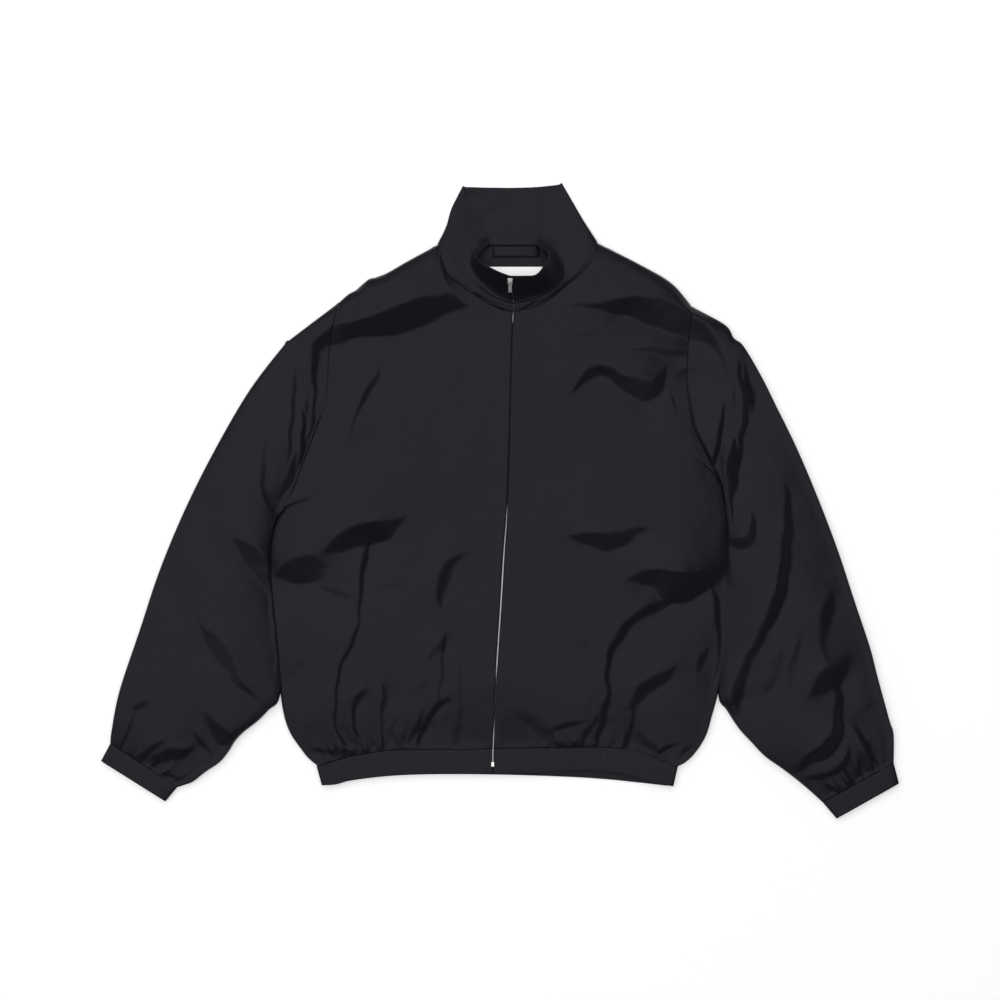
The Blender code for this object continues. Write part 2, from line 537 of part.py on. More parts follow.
def add_wall(name, surface, cells, finish, wall, offset=-1.0, around=False):
    """A cloth panel: a grid laid over the surface, closed on itself if it goes around, with its wall."""
    across, along_it = cells
    bm = bmesh.new()
    bmesh.ops.create_grid(bm, x_segments=across, y_segments=along_it, size=0.5)
    shares = np.array([v.co[:2] for v in bm.verts]) + 0.5
    places = surface(shares[:, 0], shares[:, 1]) * MM
    for vert, place in zip(bm.verts, places):
        vert.co = place
    if around:
        bmesh.ops.remove_doubles(bm, verts=bm.verts, dist=1e-6)
    bmesh.ops.recalc_face_normals(bm, faces=bm.faces)
    bm.normal_update()
    highest = max(bm.faces, key=lambda face: face.calc_center_median().z)
    if highest.normal.z < 0:
        bmesh.ops.reverse_faces(bm, faces=bm.faces)
    made = add_object(name, bm, finish)
    solidify = made.modifiers.new("wall", "SOLIDIFY")
    solidify.thickness = wall * MM
    solidify.offset = offset
    return made


def add_plate(name, outline, thickness, finish, lift=0.0):
    """A flat piece of the given outline, lying at height lift."""
    bm = bmesh.new()
    face = bm.faces.new([bm.verts.new((x * MM, y * MM, (lift + thickness) * MM)) for x, y in outline])
    face.normal_update()
    if face.normal.z < 0:
        face.normal_flip()
    made = add_object(name, bm, finish)
    solidify = made.modifiers.new("wall", "SOLIDIFY")
    solidify.thickness = thickness * MM
    solidify.offset = -1
    return made


def add_block(name, size, centre, matrix, finish, bevel, where):
    """A block with rounded edges, its centre given in the frame of its matrix."""
    bm = bmesh.new()
    bmesh.ops.create_cube(bm, size=1)
    bmesh.ops.scale(bm, vec=Vector(size) * MM, verts=bm.verts)
    bmesh.ops.translate(bm, vec=Vector(centre) * MM, verts=bm.verts)
    if bevel:
        bmesh.ops.bevel(bm, geom=bm.edges[:], offset=bevel * MM, segments=2, profile=0.5, affect="EDGES",
                        material=-1)
    made = add_object(name, bm, finish, where)
    made.matrix_world = matrix
    return made


def join(target, other, operation):
    """Cuts the other block from the target, or unites them, and keeps the other out of sight."""
    boolean = target.modifiers.new(other.name, "BOOLEAN")
    boolean.operation = operation
    boolean.object = other
    other.hide_render = True
    other.display_type = "WIRE"


def strip_rows(rows, count):
    """Top and free edge of the hem band, at count equal steps along its front or back layer."""
    top = along([row[0] for row in rows], count)
    low = along([row[1] for row in rows], count)
    return top, low


def hem_band_surface(round_hem, down):
    """Middle of the hem band, from the left of the zip, round the back, to its right."""
    stations = []
    middle_top = BAND_TOP - BAND_WALL / 2
    middle_floor = BAND_WALL / 2
    for rows, height, count in ((HEM_BAND[::-1], middle_top, 17), (HEM_BACK[::-1], middle_floor, 20),
                                (HEM_BAND_RIGHT[::-1], middle_top, 17)):
        top, low = strip_rows(rows, count)
        stations.append(np.stack([np.column_stack([top, np.full(count, height)]),
                                  np.column_stack([low, np.full(count, height)])], axis=1))
    front_left, back, front_right = stations
    turns = []
    for before, after, outwards in ((front_left[-1], back[0], 1), (back[-1], front_right[0], -1)):
        middle = (before + after) / 2
        middle[:, 0] = (max if outwards > 0 else min)(before[0, 0], after[0, 0]) + outwards * HEM_TURN
        middle[1, 0] -= outwards * HEM_TURN_LOW
        turns.append(middle[None])
    rows = np.concatenate([front_left, turns[0], back, turns[1], front_right])
    place = np.linspace(0, 1, len(rows))
    read_at = np.stack([np.stack([np.interp(round_hem, place, rows[:, k, axis]) for axis in range(3)], -1)
                        for k in range(2)], axis=-2)
    share = down[..., None]
    return read_at[..., 0, :] * (1 - share) + read_at[..., 1, :] * share


def tape_surface(side, across, up):
    """One zip tape, inside the edges of the hem band, the front and the collar, from bottom to top."""
    sign = 1 if side == "left" else -1
    columns = []
    for share in (0.0, 1.0):
        front_rows = np.arange(TAPE_FIRST_ROW, FRONT_GRID[1]) / FRONT_GRID[1]
        front = front_surface(side, np.full(front_rows.shape, share * TAPE_WIDTH / FRONT_WIDTH), front_rows)
        collar_rows = np.array(TAPE_UP_COLLAR)
        from_zip = share * COLLAR_TAPE_SHARE
        round_neck = np.full(collar_rows.shape, from_zip if side == "left" else 1 - from_zip)
        collar = collar_surface(round_neck, collar_rows)
        columns.append((front, collar))
    inside = []
    for piece, depth in ((0, WALL), (1, COLLAR_WALL / 2)):
        low, high = columns[0][piece], columns[1][piece]
        normal = np.cross(high - low, np.gradient(low, axis=0)) * sign
        normal /= np.linalg.norm(normal, axis=1, keepdims=True)
        inside.append([line - normal * (depth + TAPE_REST + TAPE_WALL / 2) for line in (low, high)])
    edges = []
    for share in (0, 1):
        beside = sign * share * TAPE_WIDTH
        band = [(zip_x(y) + sign * TAPE_HALF_GAP + beside, y, z) for y, z in TAPE_IN_BAND]
        neck_x = zip_x(TAPE_NECK_Y) + sign * TAPE_HALF_GAP_AT_NECK + beside
        neck = [(neck_x, TAPE_NECK_Y, NECK_RISE - NECK_TAPE_DROP)]
        edges.append(np.concatenate([band, inside[0][share], neck, inside[1][share]]))
    place = np.linspace(0, 1, len(edges[0]))
    low, high = (np.stack([np.interp(up, place, edge[:, k]) for k in range(3)], -1) for edge in edges)
    return low + (high - low) * across[..., None]


def loop_surface(across, up):
    """Outer face of the hanger loop, arched off the back."""
    x = LOOP_CENTRE[0] + (across - 0.5) * LOOP_SIZE[0]
    y = LOOP_CENTRE[1] + (up - 0.5) * LOOP_SIZE[1]
    z = WALL + REST_GAP + LOOP_SIZE[2] + LOOP_ARCH * np.sin(np.pi * across) ** 0.7
    return np.stack([x, y, z], axis=-1)


for old in list(bpy.data.objects):
    bpy.data.objects.remove(old)
jacket = bpy.data.collections.new("track_jacket")
cutters = bpy.data.collections.new("cutters")
for group in (jacket, cutters):
    bpy.context.scene.collection.children.link(group)

satin = material("navy_satin", (0.018, 0.019, 0.026), 0.45)
satin_inside = material("navy_satin_inside", (0.014, 0.015, 0.02), 0.6)
zip_metal = material("zip_metal", (0.72, 0.72, 0.70), 0.25, 1.0)
tape_cloth = material("zip_tape", (0.012, 0.012, 0.016), 0.8)
label_cloth = material("label_cloth", (0.85, 0.85, 0.83), 0.7)

# Back: one panel flat on the floor, inset under the rims of the fronts
back_outline = []
for side, sign in (("left", 1), ("right", -1)):
    flank = along(SIDE[side], 12)[:-1] - [sign * BACK_INSET, 0]
    armhole = along(ARMHOLE[side], 14)[:-1] - [sign * SEAM_GAP, 0]
    shoulder = along(SHOULDER[side], 8) - [0, BACK_INSET]
    flank[0, 1] += BACK_CORNER
    half = np.vstack([flank, armhole, shoulder])
    back_outline.extend(half if side == "left" else half[::-1])
back_outline = [(x, min(y, BACK_NECK_Y)) for x, y in back_outline]
hem_line = strip_rows(HEM_BACK, 20)[0] + [0, SEAM_GAP]
back_outline.extend(map(tuple, hem_line[1:-1]))
add_plate("back", back_outline, WALL, satin)

tape_grid = (1, len(TAPE_IN_BAND) + FRONT_GRID[1] - TAPE_FIRST_ROW + len(TAPE_UP_COLLAR))
for side in ("left", "right"):
    add_wall(f"front_{side}", partial(front_surface, side), FRONT_GRID, satin, WALL)
    add_wall(f"sleeve_{side}", partial(sleeve_surface, side), SLEEVE_GRID, satin, WALL, around=True)
    add_wall(f"cuff_{side}", partial(cuff_surface, side), CUFF_GRID, satin, BAND_WALL, around=True)
    add_wall(f"zip_tape_{side}", partial(tape_surface, side), tape_grid, tape_cloth, TAPE_WALL, 0.0)
add_wall("hem_band", hem_band_surface, HEM_BAND_GRID, satin, BAND_WALL, 0.0)
add_wall("collar", collar_surface, COLLAR_GRID, satin, COLLAR_WALL, 0.0)

# Neck label and hanger loop, on the inside of the back
label_x, label_y = LABEL_SIZE[0] / 2, LABEL_SIZE[1] / 2
corners = [(LABEL_CENTRE[0] + sx * label_x, LABEL_CENTRE[1] + sy * label_y)
           for sx, sy in ((-1, -1), (1, -1), (1, 1), (-1, 1))]
add_plate("neck_label", corners, LABEL_SIZE[2], label_cloth, WALL + REST_GAP)
add_wall("hanger_loop", loop_surface, (10, 1), satin, LOOP_SIZE[2])

# Zip slider and its pull tab, on the outer face of the collar under its free edge. The slider's frame has
# its origin in the middle of its body: X across the zip, Y up the collar, Z out of the collar's face.
face_low, face_high = map(Vector, SLIDER_FACE)
up_face = Vector((0, face_high.y - face_low.y, face_high.z - face_low.z)).normalized()
out_of_face = Vector((0, -up_face.z, up_face.y))
slider_lift = COLLAR_WALL / 2 + SLIDER_REST + SLIDER_SIZE[2] / 2
slider_centre = face_high - up_face * SLIDER_BELOW_EDGE + out_of_face * slider_lift
turned = Matrix((Vector((1, 0, 0)), up_face, out_of_face)).transposed().to_4x4()
on_slider = Matrix.Translation(slider_centre * MM) @ turned
slider = add_block("zip_slider", SLIDER_SIZE, (0, 0, 0), on_slider, zip_metal, 0.8, jacket)
body_top = SLIDER_SIZE[2] / 2
bridge_middle = body_top + BRIDGE_SIZE[2] / 2 - BRIDGE_SINK
bridge = add_block("bridge", BRIDGE_SIZE, (0, 0, bridge_middle), on_slider, zip_metal, 0.4, cutters)
bridge_top = bridge_middle + BRIDGE_SIZE[2] / 2
headroom = bridge_top - BRIDGE_THICKNESS - body_top
under_bridge_middle = body_top + headroom / 2
under_bridge_size = (2 * BRIDGE_SIZE[0], BRIDGE_SIZE[1] - 2 * BRIDGE_THICKNESS, headroom)
under_bridge = add_block("under_bridge", under_bridge_size, (0, 0, under_bridge_middle), on_slider,
                         zip_metal, 0, cutters)
join(slider, bridge, "UNION")
join(slider, under_bridge, "DIFFERENCE")

# The pull tab's origin is on its hinge: the middle of the bar under the bridge
hinge_place = (0, BRIDGE_SIZE[1] / 2 - BRIDGE_THICKNESS - PULL_BAR, under_bridge_middle)
on_hinge = on_slider @ Matrix.Translation(Vector(hinge_place) * MM)
pull_middle = PULL_BAR / 2 - PULL_SIZE[1] / 2
pull = add_block("zip_pull", PULL_SIZE, (0, pull_middle, 0), on_hinge, zip_metal, 0.3, jacket)
eye_middle = -(PULL_BAR + PULL_EYE[1]) / 2
eye_size = (*PULL_EYE, 2 * PULL_SIZE[2])
eye = add_block("pull_eye", eye_size, (0, eye_middle, 0), on_hinge, zip_metal, 0, cutters)
join(pull, eye, "DIFFERENCE")

# Bottom stop of the zip, on the hem band
stop_height = BAND_TOP + SLIDER_REST + STOP_SIZE[2] / 2
add_block("zip_stop", STOP_SIZE, (*STOP_CENTRE, stop_height), Matrix.Identity(4), zip_metal, 0.6, jacket)
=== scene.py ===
"""Looks of a track jacket laid flat on its back: the cloth, the zip, the label and the light.

Left and right are the wearer's, so left is +X. Lengths in the tables are millimetres; MM makes them metres.
"""

import math
from functools import partial

import bmesh
import bpy
import numpy as np
from mathutils import Matrix, Vector


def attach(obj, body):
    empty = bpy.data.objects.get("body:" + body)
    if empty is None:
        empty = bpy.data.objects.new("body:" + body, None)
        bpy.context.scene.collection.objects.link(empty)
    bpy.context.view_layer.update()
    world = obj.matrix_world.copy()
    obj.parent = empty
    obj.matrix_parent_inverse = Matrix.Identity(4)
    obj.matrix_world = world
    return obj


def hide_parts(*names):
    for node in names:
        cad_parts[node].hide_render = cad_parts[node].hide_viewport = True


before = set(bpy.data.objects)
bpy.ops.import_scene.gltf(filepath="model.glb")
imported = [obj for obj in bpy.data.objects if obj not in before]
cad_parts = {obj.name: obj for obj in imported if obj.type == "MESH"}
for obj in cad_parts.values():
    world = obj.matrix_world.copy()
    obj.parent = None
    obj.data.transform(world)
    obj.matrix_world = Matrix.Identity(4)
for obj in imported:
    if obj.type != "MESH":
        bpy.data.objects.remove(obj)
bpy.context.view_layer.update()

MM = 0.001

# ---------------------------------------------------------------------------------------------- camera
# The photograph looks straight down on the laid jacket through a long lens: a pixel is 1.25 mm.
PIXEL = 1.25 * MM
PICTURE_WIDTH = 1000 * PIXEL
CAMERA_HEIGHT = 4.0

camera_data = bpy.data.cameras.new("camera")
camera_data.sensor_width = 36
camera_data.lens = camera_data.sensor_width * CAMERA_HEIGHT / PICTURE_WIDTH
camera = bpy.data.objects.new("camera", camera_data)
camera.location = (0, PIXEL / 2, CAMERA_HEIGHT)
scene = bpy.context.scene
scene.collection.objects.link(camera)
scene.camera = camera
scene.view_settings.view_transform = "Standard"

# ----------------------------------------------------------------------------------- floor and light
# A white paper floor that glows a little, so that only a pale shadow shows under the cloth. The light is one
# wide soft box overhead, which reaches far to the collar's side and to the left of the picture and ends just
# past the object on the other two sides. So what tilts towards the hem or to the right goes dark. The room's
# walls are pale low down, so the cloth's sheen shows from the sides too.
FLOOR_GLOW = 0.41
FLOOR_WHITE = 0.8
BOX_HEIGHT = 4.4
BOX_LEFT, BOX_RIGHT = -5.0, 2.3
BOX_NEAR, BOX_FAR = -2.2, 6.0
BOX_POWER = 300
ROOM_LIGHT = 0.06
WALL_LIGHT = 0.4        # of the room's pale walls, low round the floor
WALLS_UP_TO = (0.34, 0.52)  # sines of the heights between which their light ends
FLOOR_HALF = 12         # metres
FLOOR_GAP = 0.3


def set_inputs(node, values):
    """Sets a node's sockets by name. A value that is a socket is linked."""
    for name, value in values.items():
        if isinstance(value, bpy.types.NodeSocket):
            node.id_data.links.new(value, node.inputs[name])
        else:
            node.inputs[name].default_value = value


def add_node(tree, kind, values):
    made = tree.nodes.new(f"ShaderNode{kind}")
    set_inputs(made, values)
    return made


def new_material(name, values):
    """A material, its tree and shader, and the sockets that give places on the piece."""
    made = bpy.data.materials.new(name)
    made.use_nodes = True
    tree = made.node_tree
    shader = tree.nodes["Principled BSDF"]
    set_inputs(shader, values)
    return made, tree, shader, add_node(tree, "TexCoord", {}).outputs


bm = bmesh.new()
bmesh.ops.create_grid(bm, x_segments=1, y_segments=1, size=FLOOR_HALF)
bmesh.ops.translate(bm, vec=(0, 0, -FLOOR_GAP * MM), verts=bm.verts)
floor_mesh = bpy.data.meshes.new("floor")
bm.to_mesh(floor_mesh)
bm.free()
floor = bpy.data.objects.new("floor", floor_mesh)
scene.collection.objects.link(floor)
paper = new_material("white_paper", {
    "Base Color": (FLOOR_WHITE, FLOOR_WHITE, FLOOR_WHITE, 1), "Roughness": 1.0, "Specular IOR Level": 0.0,
    "Emission Color": (1, 1, 1, 1), "Emission Strength": FLOOR_GLOW})[0]
floor_mesh.materials.append(paper)

box_data = bpy.data.lights.new("soft_box", "AREA")
box_data.shape = "RECTANGLE"
box_data.size = BOX_RIGHT - BOX_LEFT
box_data.size_y = BOX_FAR - BOX_NEAR
box_data.energy = BOX_POWER
box = bpy.data.objects.new("soft_box", box_data)
box.location = ((BOX_LEFT + BOX_RIGHT) / 2, (BOX_NEAR + BOX_FAR) / 2, BOX_HEIGHT)
scene.collection.objects.link(box)

room = bpy.data.worlds.new("room")
scene.world = room
room.use_nodes = True
background = room.node_tree.nodes["Background"]
height = add_node(room.node_tree, "SeparateXYZ", {
    "Vector": add_node(room.node_tree, "TexCoord", {}).outputs["Generated"]}).outputs["Z"]
walls = add_node(room.node_tree, "MapRange", {
    "Value": height, "From Min": WALLS_UP_TO[0], "From Max": WALLS_UP_TO[1],
    "To Min": WALL_LIGHT, "To Max": ROOM_LIGHT})
walls.interpolation_type = "SMOOTHSTEP"
set_inputs(background, {"Color": (1, 1, 1, 1), "Strength": walls.outputs["Result"]})

# ------------------------------------------------------------------------------------------- fronts
# Two fronts of dark navy satin, cut wide and gathered into the hem band, with a dropped armhole. They lie
# slack over the back, so they carry the laid jacket's long soft folds.
CLOTH = 1.2             # wall that stands for one layer of cloth
SIDE_RIM = 2.1          # the fronts' rims close on the back panel's rim
SIDE_CROWN = 9.2        # height to which a side's round edge rises at once
EDGE_ROUND = 2.4
CHEST_RISE = 13.0
BAND_TOP = 9.0
NECK_RISE = 15.0
EDGE_RISE = 4.5
# How far in from an edge or a seam the cloth settles to its own height
SIDE_REACH = 75
ARMHOLE_REACH = 60
NECK_REACH = 25
SHOULDER_REACH = 60
HEM_REACH = 90
LOWEST_FRONT = 4.0
HEM_Y, NECK_Y = -310, 235.6     # where the zip leaves the hem band and meets the neck seam
CORNER_SHARE = 0.03     # of an edge, over which its rim passes into the next one's
SHOULDER_SHARE = 0.2    # of the top, over which the neck's reach grows to the shoulder's
FOLDS_FROM_TOP, FOLDS_FROM_HEM, FOLDS_FROM_SIDE = 15, 10, 14    # how far in the folds reach full height
GATHERS_FROM_HEM, GATHERS_FROM_SIDE = 10, 12
ZIP_LEVEL, ZIP_EASE = 5, 15     # the fronts lie level this near to the zip, and their folds ease in beside it
HEM_GATHER_SHARE = 0.4  # of the gathers' height in the table, beside the folds that start in them
FRONT_CELLS = (146, 272)
SIDE_CROWDING = 1.3     # the grid's lines crowd towards the side, for its round edge
FOLD_CELL = 1.25        # grid on which the folds are worked out
FOLD_EASE = 75          # how far a fold's rise and fall ease out into the level cloth around it
FOLD_EDGE = 3.0         # half the width over which a fold's face begins
FOLD_WIDE = 45          # a wide fold's face is cut steeper, because the ease around it makes it flatter
FOLD_NARROWING = 0.55   # a narrow fold's face is only this share of the dark line that it shows
FOLD_UNCHANGED = 20
FOLD_WANDER = 1.8       # how far its edges stray from smooth lines
RELIEF_START = (-570, -480)
RELIEF_END = (570, 480)
FRONT_CUT = (0.29, 0.62)    # metres, flat

SIDE = {
    "left": [(219.8, -333), (233.5, -326), (247.3, -311), (258.3, -292), (264, -272.5), (271.5, -245),
             (280, -199), (284.8, -152), (285.5, -85), (284.8, -25), (278.3, 17)],
    "right": [(-227, -332), (-239.5, -322), (-250.5, -308), (-261.5, -292), (-269, -272.5), (-273.8, -245),
              (-278.8, -187), (-285.5, -122), (-291.5, -72), (-288, -42), (-281.5, -24)],
}
ARMHOLE = {
    "left": [(278.3, 17), (266.5, 38), (248.5, 74.5), (240, 94.5), (235.5, 125), (233, 157), (235.5, 200),
             (240, 242)],
    "right": [(-281.5, -24), (-261, 5), (-244.5, 47), (-229.5, 87), (-219.5, 113), (-215.6, 138),
              (-214, 175), (-209.5, 213), (-201.5, 247)],
}
SHOULDER = {
    "left": [(240, 242), (213.8, 272), (170, 297.5), (121.3, 322)],
    "right": [(-201.5, 247), (-189, 258), (-176, 265), (-164, 276.5), (-147.5, 281), (-112, 301),
              (-77.5, 319.5)],
}
NECK = {
    "left": [(121.3, 322), (115, 302), (102.5, 285), (86.3, 270.6), (64.5, 253), (45, 242), (17, 235.6)],
    "right": [(-77.5, 319.5), (-71.6, 299.5), (-62.5, 280), (-41.6, 264), (-15, 246), (3, 238), (17, 235.6)],
}
HEM = {
    "left": [(-9, -310), (44, -309), (85, -309), (129, -308.5), (167.5, -312), (195, -322), (219.8, -333)],
    "right": [(-9, -310), (-45, -311), (-80, -311), (-135, -312), (-182, -319), (-205, -325), (-227, -332)],
}
ZIP_LINE = [(-9, -356), (-9, -330), (-8, -296), (-4.4, -213), (1, -130), (5, -64), (8.8, -11), (12, 90),
            (14, 180), (16, 226), (17, 245)]
# Half the gap between the fronts along the zip, as (y, half the gap)
ZIP_HALF_GAP = [(-356, 0.9), (-312, 0.7), (-292, 0.6), (-270, 0.1), (-225, 0.15), (-205, 0.75), (-100, 0.95),
                (-64, 0.75), (-12, 0.35), (0, -0.05), (218, -0.05), (226, 0.5), (238, 0.3)]
# Height of the front over the floor along the zip, as (y, height)
FRONT_RISE = [(-312, 14), (-270, 16), (-200, 17), (-110, 17), (0, 15.5), (150, 15.5), (236, 15), (330, 13)]

